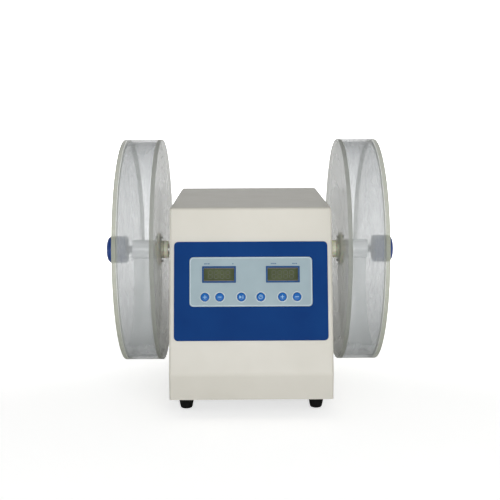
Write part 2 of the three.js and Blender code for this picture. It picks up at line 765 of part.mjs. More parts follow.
function fuseDrawer() {
  const face = backY + gap + inlet.flange;
  const [x, z] = [inlet.x, inlet.z + fuse.fromMiddle];
  const body = block(
    [x - fuse.width / 2, face - fuse.depth, z - fuse.height / 2],
    [x + fuse.width / 2, face + 1, z + fuse.height / 2],
  );
  const bedSize = [fuse.width - fuse.grip, fuse.depth - 7, fuse.height];
  const fuseBed = centred([x, face - fuse.depth / 2 - 1, z + fuse.height / 2], bedSize);
  const grip = centred([x, face + 0.5, z - fuse.height / 2], [2 * fuse.grip, fuse.grip, fuse.grip]);
  return shaped(body, { cut: [fuseBed, grip] });
}

function switchFrame() {
  const face = backY + gap + inlet.flange;
  const around = (border, low, high) =>
    block(
      [rocker.x - rocker.width / 2 - border, low, inlet.z - rocker.height / 2 - border],
      [rocker.x + rocker.width / 2 + border, high, inlet.z + rocker.height / 2 + border],
    );
  const outside = around(rockerFrame.border, backY + gap, face);
  const body = around(rockerFrame.wall, face - rockerFrame.depth - rockerFrame.wall, face - 1);
  const well = centred(
    [rocker.x, face, inlet.z],
    [rocker.width + 2 * gap, 2 * rockerFrame.depth, rocker.height + 2 * rockerFrame.endClearance],
  );
  return shaped(outside, { add: [body], cut: [well] });
}

// The rocker turns about a line along X. It is drawn level and set down on its off side.
const rockerPivot = [backY + gap + inlet.flange - rocker.pivotDepth, inlet.z];

function powerRocker() {
  const half = rocker.height / 2 - 0.4;
  const end = rocker.pivotDepth + rockerFace.crown;
  const outline = new THREE.Shape();
  outline.moveTo(-1.5, -half);
  outline.lineTo(end - 1.5, -half);
  outline.lineTo(end - 0.5, 1 - half);
  outline.lineTo(rocker.pivotDepth + rockerFace.dip, 0);
  outline.lineTo(end - 0.5, half - 1);
  outline.lineTo(end - 1.5, half);
  outline.lineTo(-1.5, half);
  outline.lineTo(-rockerFace.heel, rockerFace.heel - 1);
  outline.lineTo(-rockerFace.heel, 1 - rockerFace.heel);
  outline.closePath();
  return prismX(outline, rocker.x - rocker.width / 2, rocker.x + rocker.width / 2);
}

place("mains_inlet", mainsInlet(), finishes.blackPlastic);
place("fuse_drawer", fuseDrawer(), finishes.blackPlastic);
place("switch_frame", switchFrame(), finishes.blackPlastic);
const powerSwitch = place("power_rocker", powerRocker(), finishes.blackPlastic);
powerSwitch.position.set(0, rockerPivot[0], rockerPivot[1]);
powerSwitch.rotation.x = (-rocker.throwAngle * Math.PI) / 180;

// ---------------------------------------------------------------- shaft and drums

function mainShaft() {
  const profile = [
    [0, -threadEnd],
    [shaft.threadRadius - 0.8, -threadEnd],
    [shaft.threadRadius, -threadEnd + 0.8],
    [shaft.threadRadius, -drumX.spigot + 1],
    [shaft.radius, -drumX.spigot + 1],
    [shaft.radius, drumX.spigot - 1],
    [shaft.threadRadius, drumX.spigot - 1],
    [shaft.threadRadius, threadEnd - 0.8],
    [shaft.threadRadius - 0.8, threadEnd],
    [0, threadEnd],
  ];
  return turnedX(profile, 1).translate(0, 0, axleZ);
}

const flangeFace = drumX.inside + gap + flange.thickness;

// The nylon flange that carries a drum: a collar inside the back plate, on a sleeve that passes through it.
function hubFlange(side) {
  const bore = shaft.radius + gap;
  const start = drumX.back - hub.sleeveBehind;
  const collar = drumX.inside + gap;
  const end = drumX.inside + hub.sleeveInside;
  const profile = [
    [bore, start],
    [hub.sleeveRadius, start],
    [hub.sleeveRadius, collar],
    [flange.radius, collar],
    [flange.radius, flangeFace - 1],
    [flange.radius - 1, flangeFace],
    [hub.sleeveRadius, flangeFace],
    [hub.sleeveRadius, end],
    [bore, end],
    [bore, start],
  ];
  const holes = flangeScrewHoles(side, collar - 1, flangeFace + 1);
  return shaped(turnedX(profile, side), { cut: holes }).translate(0, 0, axleZ);
}

// Holes for the two flange screws, between two distances and centred on the shaft.
function flangeScrewHoles(side, from, to) {
  const [low, high] = span(side, from, to);
  return [-1, 1].map((end) =>
    rod("x", flangeScrew.radius + gap, low, high, [0, end * flangeScrew.pitchRadius], 12),
  );
}

function drumBackPlate(side) {
  const plate = ringProfile(hub.sleeveRadius + gap, drumOuterRadius, drumX.back, drumX.inside);
  const holes = flangeScrewHoles(side, drumX.back - 1, drumX.inside + 1);
  return shaped(turnedX(plate, side, drum.sides), { cut: holes }).translate(0, 0, axleZ);
}

function drumRing(side) {
  const profile = ringProfile(drum.innerRadius, drumOuterRadius, drumX.inside + gap / 2, drumX.rim - gap);
  return turnedX(profile, side, drum.sides).translate(0, 0, axleZ);
}

function hubTube(side) {
  const from = drumX.inside + hub.sleeveInside + gap;
  const profile = ringProfile(shaft.radius + gap, hub.tubeRadius, from, drumX.spigot - gap);
  return turnedX(profile, side).translate(0, 0, axleZ);
}

// The curved arm that carries the tablets up: an arc from the hub tube to the ring, the depth of the drum.
function drumSlide(side) {
  const polar = (radius, degrees) =>
    new THREE.Vector2(
      radius * Math.cos(THREE.MathUtils.degToRad(degrees)),
      radius * Math.sin(THREE.MathUtils.degToRad(degrees)),
    );
  const half = slide.thickness / 2;
  const middle = slide.innerRadius + half;
  const start = polar(hub.tubeRadius + gap + half, slide.hubAngle);
  const end = polar(clearRadius - gap - half, slide.endAngle);
  const chord = end.clone().sub(start);
  const across = new THREE.Vector2(-chord.y, chord.x).normalize();
  const rise = Math.sqrt(middle ** 2 - (chord.length() / 2) ** 2);
  const centre = start.clone().add(end).multiplyScalar(0.5).addScaledVector(across, -rise);
  const from = Math.atan2(start.y - centre.y, start.x - centre.x);
  const to = Math.atan2(end.y - centre.y, end.x - centre.x);
  const outline = new THREE.Shape();
  outline.absarc(centre.x, centre.y, middle + half, from, to, true);
  outline.absarc(centre.x, centre.y, middle - half, to, from, false);
  outline.closePath();
  const arm = prismX(outline, ...span(side, drumX.inside + gap, drumX.spigot - gap), slide.steps);
  const notch = span(side, drumX.inside, flangeFace + flangeScrew.headHeight + 2 * gap);
  const clearOfFlange = rod("x", flange.radius + gap, ...notch, [0, 0], 36);
  return shaped(arm, { cut: [clearOfFlange] }).translate(0, 0, axleZ);
}

function flangeScrewBody(side, end) {
  const head = flangeFace + gap;
  const slot = head + flangeScrew.headHeight;
  const profile = [
    [0, head - flangeScrew.length],
    [flangeScrew.radius, head - flangeScrew.length],
    [flangeScrew.radius, head],
    [flangeScrew.headRadius, head],
    [flangeScrew.headRadius, slot - 0.6],
    [flangeScrew.headRadius - 0.6, slot],
    [0, slot],
  ];
  const [near, far] = span(side, slot - 1.2, slot + 1);
  const cut = block([near, -0.5, -4], [far, 0.5, 4]);
  const slotted = shaped(turnedX(profile, side, 16), { cut: [cut] });
  return slotted.translate(0, 0, axleZ + end * flangeScrew.pitchRadius);
}

function drumCover(side) {
  const bore = shaft.threadRadius + gap;
  const spigotRadius = clearRadius - gap;
  const profile = [
    [bore, drumX.spigot],
    [spigotRadius, drumX.spigot],
    [spigotRadius, drumX.rim],
    [drumOuterRadius, drumX.rim],
    [drumOuterRadius, drumX.face - 1],
    [drumOuterRadius - 1, drumX.face],
    [bore, drumX.face],
    [bore, drumX.spigot],
  ];
  return turnedX(profile, side, drum.sides).translate(0, 0, axleZ);
}

function drumKnob(side) {
  const bore = shaft.threadRadius + gap;
  const [near, end] = [drumX.face + gap, drumX.face + knob.length];
  const boreEnd = Math.min(threadEnd + gap, end - 3);
  const profile = [
    [bore, near],
    [knob.radius - 0.8, near],
    [knob.radius, near + 0.8],
    [knob.radius, end - knob.edge],
  ];
  const steps = 5;
  for (let i = 1; i <= steps; i++) {
    const angle = (i / steps) * (Math.PI / 2);
    profile.push([knob.radius - knob.edge * (1 - Math.cos(angle)), end - knob.edge * (1 - Math.sin(angle))]);
  }
  profile.push([0, end], [0, boreEnd], [bore, boreEnd], [bore, near]);
  return turnedX(profile, side).translate(0, 0, axleZ);
}

place("main_shaft", mainShaft(), finishes.steel);
for (const [name, side] of [["left", -1], ["right", 1]]) {
  place(`hub_flange_${name}`, hubFlange(side), finishes.nylon);
  place(`drum_back_plate_${name}`, drumBackPlate(side), finishes.clearAcrylic);
  place(`drum_ring_${name}`, drumRing(side), finishes.clearAcrylic);
  place(`drum_hub_tube_${name}`, hubTube(side), finishes.clearAcrylic);
  place(`drum_slide_${name}`, drumSlide(side), finishes.clearAcrylic);
  place(`flange_screw_${name}_top`, flangeScrewBody(side, 1), finishes.darkSteel);
  place(`flange_screw_${name}_bottom`, flangeScrewBody(side, -1), finishes.darkSteel);
  place(`drum_cover_${name}`, drumCover(side), finishes.clearAcrylic);
  place(`drum_knob_${name}`, drumKnob(side), finishes.blueKnob);
}

export default model;
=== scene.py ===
import json
import math

import bmesh
import bpy
from mathutils import Matrix, Vector


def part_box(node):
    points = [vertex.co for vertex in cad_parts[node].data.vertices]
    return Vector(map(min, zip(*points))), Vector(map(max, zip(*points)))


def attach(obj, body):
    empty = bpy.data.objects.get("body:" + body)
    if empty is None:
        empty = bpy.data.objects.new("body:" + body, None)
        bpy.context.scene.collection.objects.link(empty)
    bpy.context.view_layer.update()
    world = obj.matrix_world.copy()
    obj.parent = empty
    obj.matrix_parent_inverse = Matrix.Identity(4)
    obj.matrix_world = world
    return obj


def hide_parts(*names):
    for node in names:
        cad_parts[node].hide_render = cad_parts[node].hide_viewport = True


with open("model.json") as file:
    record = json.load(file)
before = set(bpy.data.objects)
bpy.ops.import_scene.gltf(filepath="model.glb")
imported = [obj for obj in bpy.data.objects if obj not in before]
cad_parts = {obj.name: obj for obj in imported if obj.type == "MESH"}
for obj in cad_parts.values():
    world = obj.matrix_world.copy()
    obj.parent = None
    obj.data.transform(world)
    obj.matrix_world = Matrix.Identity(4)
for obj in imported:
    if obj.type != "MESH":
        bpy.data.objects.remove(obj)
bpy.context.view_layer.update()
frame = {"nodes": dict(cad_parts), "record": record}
mm = 0.001
seat = 0.3  # mm left between pieces that touch

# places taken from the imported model

shellLow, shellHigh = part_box("cabinet_shell")
shaftLow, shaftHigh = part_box("main_shaft")
axle = Vector((0, 0, (shaftLow.z + shaftHigh.z) / 2))
cabinet = {"apron": 32, "slopeRun": 56, "sheet": 1.5, "round": 3.2}
creaseZ = shellLow.z + cabinet["apron"] * mm
slopeTopY = shellLow.y + cabinet["slopeRun"] * mm
slopeLean = math.atan2(cabinet["slopeRun"] * mm, shellHigh.z - creaseZ)
# local x across, local y up the slope from its foot, local z straight out of it
slope = Matrix.Translation((0, shellLow.y, creaseZ)) @ Matrix.Rotation(math.pi / 2 - slopeLean, 4, "X")
sides = {"left": -1, "right": 1}
# an outline in (y, z) that is pushed out along x
yzx = Matrix(((0, 0, 1, 0), (1, 0, 0, 0), (0, 1, 0, 0), (0, 0, 0, 1)))


def alongShaft(side):
    # local z runs outwards along the shaft from the middle of the cabinet
    return Matrix.Translation(axle) @ Matrix.Rotation(side * math.pi / 2, 4, "Y")


def outOfBack(x, z):
    # local z runs straight out of the rear panel, local y is up
    turn = Matrix.Rotation(math.pi, 4, "Z") @ Matrix.Rotation(math.pi / 2, 4, "X")
    return Matrix.Translation((x, shellHigh.y, z)) @ turn


def distances(node):
    # how far out along the shaft a node starts and ends, and its radius, in mm
    low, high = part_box(node)
    return min(abs(low.x), abs(high.x)) / mm, max(abs(low.x), abs(high.x)) / mm, high.y / mm


# modelling helpers


def deselectAll():
    if bpy.context.object and bpy.context.object.mode != "OBJECT":
        bpy.ops.object.mode_set(mode="OBJECT")
    bpy.ops.object.select_all(action="DESELECT")


def choose(*pieces):
    deselectAll()
    for piece in pieces:
        piece.select_set(True)
    bpy.context.view_layer.objects.active = pieces[0]


def edit(piece, kind="VERT"):
    choose(piece)
    bpy.ops.object.mode_set(mode="EDIT")
    bpy.ops.mesh.select_mode(type=kind)


def pickFaces(test):
    # test gets a face's middle and its normal
    bpy.ops.mesh.select_mode(type="FACE")
    bpy.ops.mesh.select_all(action="DESELECT")
    data = bpy.context.object.data
    mesh = bmesh.from_edit_mesh(data)
    for face in mesh.faces:
        face.select_set(bool(test(face.calc_center_median(), face.normal)))
    bmesh.update_edit_mesh(data)


def pickEdges(test):
    # test gets an edge's middle and its direction
    bpy.ops.mesh.select_mode(type="EDGE")
    bpy.ops.mesh.select_all(action="DESELECT")
    data = bpy.context.object.data
    mesh = bmesh.from_edit_mesh(data)
    for edge in mesh.edges:
        a, b = (v.co for v in edge.verts)
        edge.select_set(bool(test((a + b) / 2, (b - a).normalized())))
    bmesh.update_edit_mesh(data)


def placed(piece, place):
    deselectAll()
    piece.matrix_world = place @ piece.matrix_world
    choose(piece)
    bpy.ops.object.transform_apply(location=True, rotation=True, scale=True)
    return piece


def chain(points):
    # a line of vertices through the points, left in edit mode with everything selected
    deselectAll()
    bpy.ops.mesh.primitive_plane_add(size=mm, location=points[0])
    bpy.ops.object.transform_apply(location=True, rotation=False, scale=False)
    piece = bpy.context.object
    edit(piece)
    bpy.ops.mesh.select_all(action="SELECT")
    bpy.ops.mesh.merge(type="CENTER")
    for here, there in zip(points, points[1:]):
        bpy.ops.mesh.extrude_region_move(TRANSFORM_OT_translate={"value": Vector(there) - Vector(here)})
    bpy.ops.mesh.select_all(action="SELECT")
    return piece


def turned(profile, place, steps=64):
    # a profile of (radius, height) in mm spun about local z
    piece = chain([(radius * mm, 0, height * mm) for radius, height in profile])
    bpy.ops.mesh.spin(steps=steps, angle=2 * math.pi, center=(0, 0, 0), axis=(0, 0, 1))
    bpy.ops.mesh.select_all(action="SELECT")
    bpy.ops.mesh.remove_doubles(threshold=mm / 100)
    bpy.ops.mesh.normals_make_consistent(inside=False)
    return placed(piece, place)


def ring(inner, outer, low, high):
    return [(inner, low), (outer, low), (outer, high), (inner, high), (inner, low)]


def rod(radius, low, high):
    return [(0, low), (radius, low), (radius, high), (0, high)]


def outlined(points, low, high, place):
    # an outline of (x, y) in mm, filled and pushed out from one height to another along local z
    piece = chain([(x * mm, y * mm, low * mm) for x, y in points])
    bpy.ops.mesh.edge_face_add()
    bpy.ops.mesh.extrude_region_move(TRANSFORM_OT_translate={"value": (0, 0, (high - low) * mm)})
    bpy.ops.mesh.select_all(action="SELECT")
    bpy.ops.mesh.normals_make_consistent(inside=False)
    return placed(piece, place)


def block(low, high, place=Matrix.Identity(4), corner=0, steps=6):
    # a box from two corners in mm, with the edges along local z rounded by corner
    middle = [(a + b) / 2 * mm for a, b in zip(low, high)]
    size = [(b - a) * mm for a, b in zip(low, high)]
    deselectAll()
    bpy.ops.mesh.primitive_cube_add(size=1, location=middle, scale=size)
    piece = bpy.context.object
    bpy.ops.object.transform_apply(location=True, rotation=True, scale=True)
    if corner:
        edit(piece, "EDGE")
        pickEdges(lambda middle, along: abs(along.z) > 0.99)
        bpy.ops.mesh.bevel(offset=corner * mm, segments=steps, affect="EDGES")
    return placed(piece, place)


def slab(x, y, width, height, low, high, place, corner=0):
    return block((x - width / 2, y - height / 2, low), (x + width / 2, y + height / 2, high), place, corner)


def cutAway(piece, *cutters):
    for cutter in cutters:
        choose(piece)
        bpy.ops.object.modifier_add(type="BOOLEAN")
        cut = piece.modifiers[-1]
        cut.operation = "DIFFERENCE"
        cut.solver = "EXACT"
        cut.object = cutter
        bpy.ops.object.modifier_apply(modifier=cut.name)
        bpy.data.objects.remove(cutter)
    return piece


def joined(*pieces):
    choose(*pieces)
    bpy.ops.object.join()
    return bpy.context.object


def soften(piece, width, segments=3, angle=35):
    # rounds every edge sharper than angle by width mm
    choose(piece)
    bpy.ops.object.modifier_add(type="BEVEL")
    bevel = piece.modifiers[-1]
    bevel.width = width * mm
    bevel.segments = segments
    bevel.limit_method = "ANGLE"
    bevel.angle_limit = math.radians(angle)
    bevel.use_clamp_overlap = True
    bpy.ops.object.modifier_apply(modifier=bevel.name)
    return piece


def finished(piece, name, body, materials, replaced=(), smooth=40):
    choose(piece)
    bpy.ops.object.transform_apply(location=True, rotation=True, scale=True)
    bpy.ops.object.shade_smooth_by_angle(angle=math.radians(smooth))
    bpy.ops.object.modifier_add(type="WEIGHTED_NORMAL")  # keeps the flat faces flat and the rounds smooth
    piece.modifiers[-1].keep_sharp = True
    bpy.ops.object.modifier_apply(modifier=piece.modifiers[-1].name)
    piece.name = name
    piece.data.name = name
    piece.data.materials.clear()
    for material in materials:
        piece.data.materials.append(material)
    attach(piece, body)
    if replaced:
        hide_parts(*replaced)
    return piece


def giveFaces(piece, index, test):
    # puts the material of that index on the faces whose middle and normal pass the test
    for face in piece.data.polygons:
        if test(face.center, face.normal):
            face.material_index = index


# material helpers


def toLinear(hexColour):
    parts = [int(hexColour[i : i + 2], 16) / 255 for i in (1, 3, 5)]
    return (*[p / 12.92 if p <= 0.04045 else ((p + 0.055) / 1.055) ** 2.4 for p in parts], 1)


def addNode(tree, kind, values=None, links=None, **settings):
    node = tree.nodes.new(kind)
    for key, value in settings.items():
        setattr(node, key, value)
    for key, value in (values or {}).items():
        node.inputs[key].default_value = value
    for key, socket in (links or {}).items():
        tree.links.new(socket, node.inputs[key])
    return node


def newMaterial(name, **values):
    material = bpy.data.materials.new(name)
    material.use_nodes = True
    shader = material.node_tree.nodes["Principled BSDF"]
    for key, value in values.items():
        shader.inputs[key.replace("_", " ")].default_value = value
    return material, material.node_tree, shader


def ramp(tree, factor, stops):
    # colours given as hex or as one grey value, at their positions
    node = addNode(tree, "ShaderNodeValToRGB", links={"Fac": factor})
    elements = node.color_ramp.elements
    while len(elements) < len(stops):
        elements.new(0.5)
    for element, (position, colour) in zip(elements, stops):
        element.position = position
        element.color = toLinear(colour) if isinstance(colour, str) else (colour, colour, colour, 1)
    return node.outputs["Color"]


def noise(tree, spacing, detail=2, stretch=(1, 1, 1), roughness=0.5):
    # noise whose lumps are about spacing mm apart, on Object coordinates in metres
    place = addNode(tree, "ShaderNodeTexCoord").outputs["Object"]
    mapped = addNode(tree, "ShaderNodeMapping", {"Scale": stretch}, {"Vector": place})
    return addNode(
        tree,
        "ShaderNodeTexNoise",
        {"Scale": 1 / (spacing * mm), "Detail": detail, "Roughness": roughness},
        {"Vector": mapped.outputs["Vector"]},
    ).outputs["Fac"]


def vary(tree, shader, socket, factor, stops):
    # drives a socket of the shader from a factor by way of a ramp
    tree.links.new(ramp(tree, factor, stops), shader.inputs[socket])


def bumpy(tree, shader, height, depth):
    # depth is the height of the relief in mm
    bump = addNode(tree, "ShaderNodeBump", {"Strength": 1.0, "Distance": depth * mm}, {"Height": height})
    tree.links.new(bump.outputs["Normal"], shader.inputs["Normal"])


# materials


def powderCoatedSteel():
    # polyester powder coat: a satin skin with a fine orange peel and the faintest cloudiness
    material, tree, shader = newMaterial("powderCoatedSteel", Roughness=0.42, IOR=1.5)
    cloud = noise(tree, 60, 3)
    vary(tree, shader, "Base Color", cloud, [(0.3, "#DAD7CC"), (0.7, "#DFDCD2")])
    shine = noise(tree, 18, 3)
    vary(tree, shader, "Roughness", shine, [(0.35, 0.38), (0.65, 0.46)])
    bumpy(tree, shader, noise(tree, 1.6, 2), 0.02)  # real peel is about 1 mm, drawn a little coarser to show
    return material


def bluePolyesterPanel():
    # back-printed polyester over sheet metal: even deep blue with a fine velvet grain
    material, tree, shader = newMaterial(
        "bluePolyesterPanel", Roughness=0.5, IOR=1.57, Specular_IOR_Level=0.03
    )
    cloud = noise(tree, 45, 2)
    vary(tree, shader, "Base Color", cloud, [(0.3, "#0F3A78"), (0.7, "#12407F")])
    bumpy(tree, shader, noise(tree, 0.8, 1), 0.01)
    return material


def paleMembrane():
    # printed polyester membrane: pale blue grey with a slightly grained satin face
    material, tree, shader = newMaterial("paleMembrane", Roughness=0.45, IOR=1.57, Specular_IOR_Level=0.3)
    cloud = noise(tree, 30, 2)
    vary(tree, shader, "Base Color", cloud, [(0.3, "#98ACB4"), (0.7, "#A0B4BB")])
    bumpy(tree, shader, noise(tree, 0.8, 1), 0.01)
    return material


def plainPrint(name, colour, lighter, roughness=0.4):
    # screen-printed ink: a flat colour that thins a little here and there
    material, tree, shader = newMaterial(name, Roughness=roughness, IOR=1.5)
    cloud = noise(tree, 4, 2)
    vary(tree, shader, "Base Color", cloud, [(0.35, colour), (0.65, lighter)])
    return material


def liquidCrystalGlass():
    # reflective LCD: an olive film under glass, a touch darker in clouds, with a quiet gloss
    material, tree, shader = newMaterial(
        "liquidCrystalGlass", Roughness=0.3, IOR=1.52, Specular_IOR_Level=0.08
    )
    cloud = noise(tree, 14, 2)
    vary(tree, shader, "Base Color", cloud, [(0.3, "#414A2A"), (0.7, "#4B5531")])
    return material


highlightStreakSpacing = 9.1  # mm from one painted highlight streak to the next


def clearAcrylic(name, haze, dark, light, passes=0.0, ior=1.15):
    # cast acrylic gone hazy with use: grey and see-through, denser where it is seen along the sheet,
    # with a soft gloss and broad lighter rings around the shaft, which are painted highlight streaks
    material, tree, shader = newMaterial(name, IOR=ior, Transmission_Weight=passes)
    place = addNode(tree, "ShaderNodeTexCoord").outputs["Object"]
    parts = addNode(tree, "ShaderNodeSeparateXYZ", links={"Vector": place})
    aside = addNode(tree, "ShaderNodeMath", {1: -axle.z}, {0: parts.outputs["Z"]}, operation="ADD")
    spoke = addNode(tree, "ShaderNodeCombineXYZ", links={"Y": parts.outputs["Y"], "Z": aside.outputs[0]})
    radius = addNode(tree, "ShaderNodeVectorMath", links={0: spoke.outputs[0]}, operation="LENGTH")
    track = addNode(
        tree,
        "ShaderNodeMath",
        links={0: radius.outputs["Value"], 1: parts.outputs["X"]},
        operation="ADD",
    )
    highlightStreaks = addNode(
        tree,
        "ShaderNodeTexNoise",
        {"Scale": 1 / (highlightStreakSpacing * mm), "Detail": 1},
        {"W": track.outputs[0]},
        noise_dimensions="1D",
    )
    cloud = noise(tree, 35, 2)
    mixed = addNode(tree, "ShaderNodeMath", links={0: highlightStreaks.outputs["Fac"], 1: cloud}, operation="MULTIPLY")
    # painted highlight: the base colour turns lighter along the streak rings, with random cloud mixed in
    vary(tree, shader, "Base Color", mixed.outputs[0], [(0.05, dark), (0.5, light)])
    vary(tree, shader, "Roughness", mixed.outputs[0], [(0.05, 0.14), (0.55, 0.19)])
    edgeOn = addNode(tree, "ShaderNodeLayerWeight", {"Blend": 0.5}).outputs["Facing"]
    vary(tree, shader, "Alpha", edgeOn, [(0.0, haze[0]), (0.75, haze[1]), (1.0, haze[2])])
    return material


def sawnAcrylicEdge(name, dark, light, solid=0.85):
    # machined rim of acrylic sheet: frosted by the tool, with the faint yellow green of its thickness
    material, tree, shader = newMaterial(name, Roughness=0.3, IOR=1.2, Alpha=solid)
    streak = noise(tree, 2.5, 2, (1, 6, 6))
    vary(tree, shader, "Base Color", streak, [(0.3, dark), (0.7, light)])
    bumpy(tree, shader, noise(tree, 1.0, 1, (4, 1, 1)), 0.02)
    return material


def naturalNylon():
    # turned natural nylon: waxy pale straw with fine tool rings
    material, tree, shader = newMaterial("naturalNylon", Roughness=0.42, IOR=1.53)
    shader.inputs["Subsurface Weight"].default_value = 0.25
    shader.inputs["Subsurface Scale"].default_value = 3 * mm
    cloud = noise(tree, 8, 2)
    vary(tree, shader, "Base Color", cloud, [(0.3, "#ECEBD2"), (0.7, "#F4F3DF")])
    bumpy(tree, shader, noise(tree, 0.6, 1), 0.02)
    return material


def turnedStainless(name="turnedStainless", colour="#C4C5C6", roughness=0.24):
    # stainless bar turned and polished: bright, with fine rings around the bar that stretch the glints
    material, tree, shader = newMaterial(name, Metallic=1.0)
    rings = noise(tree, 0.5, 2, (1, 0.02, 0.02))
    vary(tree, shader, "Base Color", rings, [(0.3, colour), (0.7, "#DADBDC")])
    shine = noise(tree, 6, 2)
    vary(tree, shader, "Roughness", shine, [(0.3, roughness), (0.7, roughness + 0.1)])
    bumpy(tree, shader, rings, 0.005)
    return material


def blackenedSteel():
    # black oxide screws: nearly black, soft metallic sheen, worn paler on the high spots
    material, tree, shader = newMaterial("blackenedSteel", Metallic=1.0, Roughness=0.4)
    worn = noise(tree, 1.2, 3)
    vary(tree, shader, "Base Color", worn, [(0.45, "#2B2B2D"), (0.75, "#5E5E60")])
    return material


def zincPlate():
    # zinc plated sheet: cool grey metal with a soft spangle
    material, tree, shader = newMaterial("zincPlate", Metallic=1.0)
    spangle = noise(tree, 7, 2)
    vary(tree, shader, "Base Color", spangle, [(0.35, "#A4A8AB"), (0.65, "#BDC0C2")])
    vary(tree, shader, "Roughness", spangle, [(0.35, 0.34), (0.65, 0.48)])
    return material


def mouldedBlueAbs():
    # injection moulded ABS: strong blue, glossy, with a slight flow unevenness
    material, tree, shader = newMaterial("mouldedBlueAbs", IOR=1.54, Specular_IOR_Level=0.3)
    cloud = noise(tree, 15, 2)
    vary(tree, shader, "Base Color", cloud, [(0.3, "#12357A"), (0.7, "#183F88")])
    vary(tree, shader, "Roughness", cloud, [(0.3, 0.24), (0.7, 0.34)])
    bumpy(tree, shader, noise(tree, 2.5, 2), 0.01)
    return material


def navyAbs():
    # display surrounds: dark blue moulding, semi-gloss
    material, tree, shader = newMaterial("navyAbs", Roughness=0.4, IOR=1.54, Specular_IOR_Level=0.2)
    cloud = noise(tree, 8, 2)
    vary(tree, shader, "Base Color", cloud, [(0.3, "#0F3F74"), (0.7, "#174F86")])
    bumpy(tree, shader, noise(tree, 0.7, 1), 0.01)
    return material


def keyBlueSilicone():
    # domed key caps: lighter blue, smooth satin gloss
    material, tree, shader = newMaterial("keyBlueSilicone", Roughness=0.35, IOR=1.5, Specular_IOR_Level=0.25)
    cloud = noise(tree, 5, 2)
    vary(tree, shader, "Base Color", cloud, [(0.3, "#0B5DAA"), (0.7, "#1169B8")])
    return material


def mouldedRubber():
    # black moulded rubber: matt, with a dry grain and a dusty bloom in the hollows
    material, tree, shader = newMaterial("mouldedRubber", IOR=1.52, Specular_IOR_Level=0.1)
    bloom = noise(tree, 5, 3)
    vary(tree, shader, "Base Color", bloom, [(0.35, "#131312"), (0.75, "#1C1C1B")])
    vary(tree, shader, "Roughness", bloom, [(0.35, 0.6), (0.75, 0.85)])
    bumpy(tree, shader, noise(tree, 0.9, 3), 0.05)
    return material


def sparkErodedPlastic():
    # black nylon mouldings from a spark-eroded tool: even fine grain, dull
    material, tree, shader = newMaterial("sparkErodedPlastic", Roughness=0.5, IOR=1.53)
    grain = noise(tree, 0.7, 2)
    vary(tree, shader, "Base Color", grain, [(0.3, "#1A1A1C"), (0.7, "#26262A")])
    bumpy(tree, shader, grain, 0.03)
    return material


def insidePart(name, dark, light, metallic=0.0, roughness=0.5, spacing=6):
    # parts that stay inside the cabinet: plain but not flat
    material, tree, shader = newMaterial(name, Metallic=metallic, Roughness=roughness)
    cloud = noise(tree, spacing, 2)
    vary(tree, shader, "Base Color", cloud, [(0.35, dark), (0.65, light)])
    return material


cream = powderCoatedSteel()
blueFilm = bluePolyesterPanel()
membrane = paleMembrane()
captionInk = plainPrint("captionInk", "#3F6489", "#4C7194")
whiteInk = plainPrint("whiteInk", "#DDE6EC", "#E8EEF2")
keyInk = plainPrint("keyInk", "#7FB2DA", "#8ABBE0")
haloInk = plainPrint("haloInk", "#BFD0D8", "#C8D7DE")
segmentInk = plainPrint("segmentInk", "#3B4427", "#40492B", 0.3)
polariserEdge = plainPrint("polariserEdge", "#2E2C1E", "#383524", 0.3)
navyPlastic = navyAbs()
lcdGlass = liquidCrystalGlass()
acrylic = clearAcrylic("clearAcrylic", (0.36, 0.55, 0.9), "#ACB0B2", "#C2C6C8", 0.3, 1.12)
# the back plates are the same acrylic in a darker grey: painted shade
plateAcrylicPaintedShade = clearAcrylic("plateAcrylicPaintedShade", (0.08, 0.42, 0.62), "#A2A4A0", "#AEB0AC", 0.0, 1.02)
coverAcrylic = clearAcrylic("coverAcrylic", (0.08, 0.36, 0.62), "#B0B4B4", "#C2C6C6", 0.0, 1.05)
# the hub tubes are the same acrylic made near-white: painted highlight
tubeAcrylicPaintedHighlight = clearAcrylic("tubeAcrylicPaintedHighlight", (0.75, 0.85, 0.95), "#F4F6F6", "#FDFEFE", 0.0, 1.6)
slideAcrylic = clearAcrylic("slideAcrylic", (0.5, 0.6, 0.8), "#DFE2E1", "#ECEEED", 0.0, 1.2)
coverEdge = sawnAcrylicEdge("sawnCoverEdge", "#979A88", "#B0B3A4")
# the back plates' rims are the same sawn edge in a darker grey: painted shade
plateEdgePaintedShade = sawnAcrylicEdge("sawnPlateEdgePaintedShade", "#898C84", "#999C94", 0.8)
# the slides' edges are the same sawn edge made near-white: painted highlight, a pale line of light along
# them
slideEdgePaintedHighlight = sawnAcrylicEdge("sawnSlideEdgePaintedHighlight", "#DADCD2", "#E8EAE2", 0.9)
nylon = naturalNylon()
stainless = turnedStainless()
blackSteel = blackenedSteel()
zinc = zincPlate()
blueAbs = mouldedBlueAbs()
keyBlue = keyBlueSilicone()
rubber = mouldedRubber()
blackPlastic = sparkErodedPlastic()
boardGreen = insidePart("solderMask", "#1F5637", "#28663F", roughness=0.35)
varnishedIron = insidePart("varnishedIron", "#4C4E50", "#6A6C6E", metallic=1.0)
acetal = insidePart("machinedAcetal", "#DCD7C6", "#E8E3D4")

slotMaterials = {
    "cream_paint": cream,
    "blue_panel": blueFilm,
    "pale_membrane": membrane,
    "key_blue": keyBlue,
    "display_glass": lcdGlass,
    "clear_acrylic": acrylic,
    "nylon": nylon,
    "knob_blue": blueAbs,
    "stainless_steel": stainless,
    "dark_steel": blackSteel,
    "zinc_plate": zinc,
    "rubber": rubber,
    "black_plastic": blackPlastic,
    "circuit_board": boardGreen,
    "transformer_steel": varnishedIron,
    "gear_plastic": acetal,
}
for row in frame["record"]["subparts"]:
    node = frame["nodes"][row["node"]]
    for holder in node.material_slots:
        holder.material = slotMaterials[row["material_slot"]]
print("materials ready")

# camera


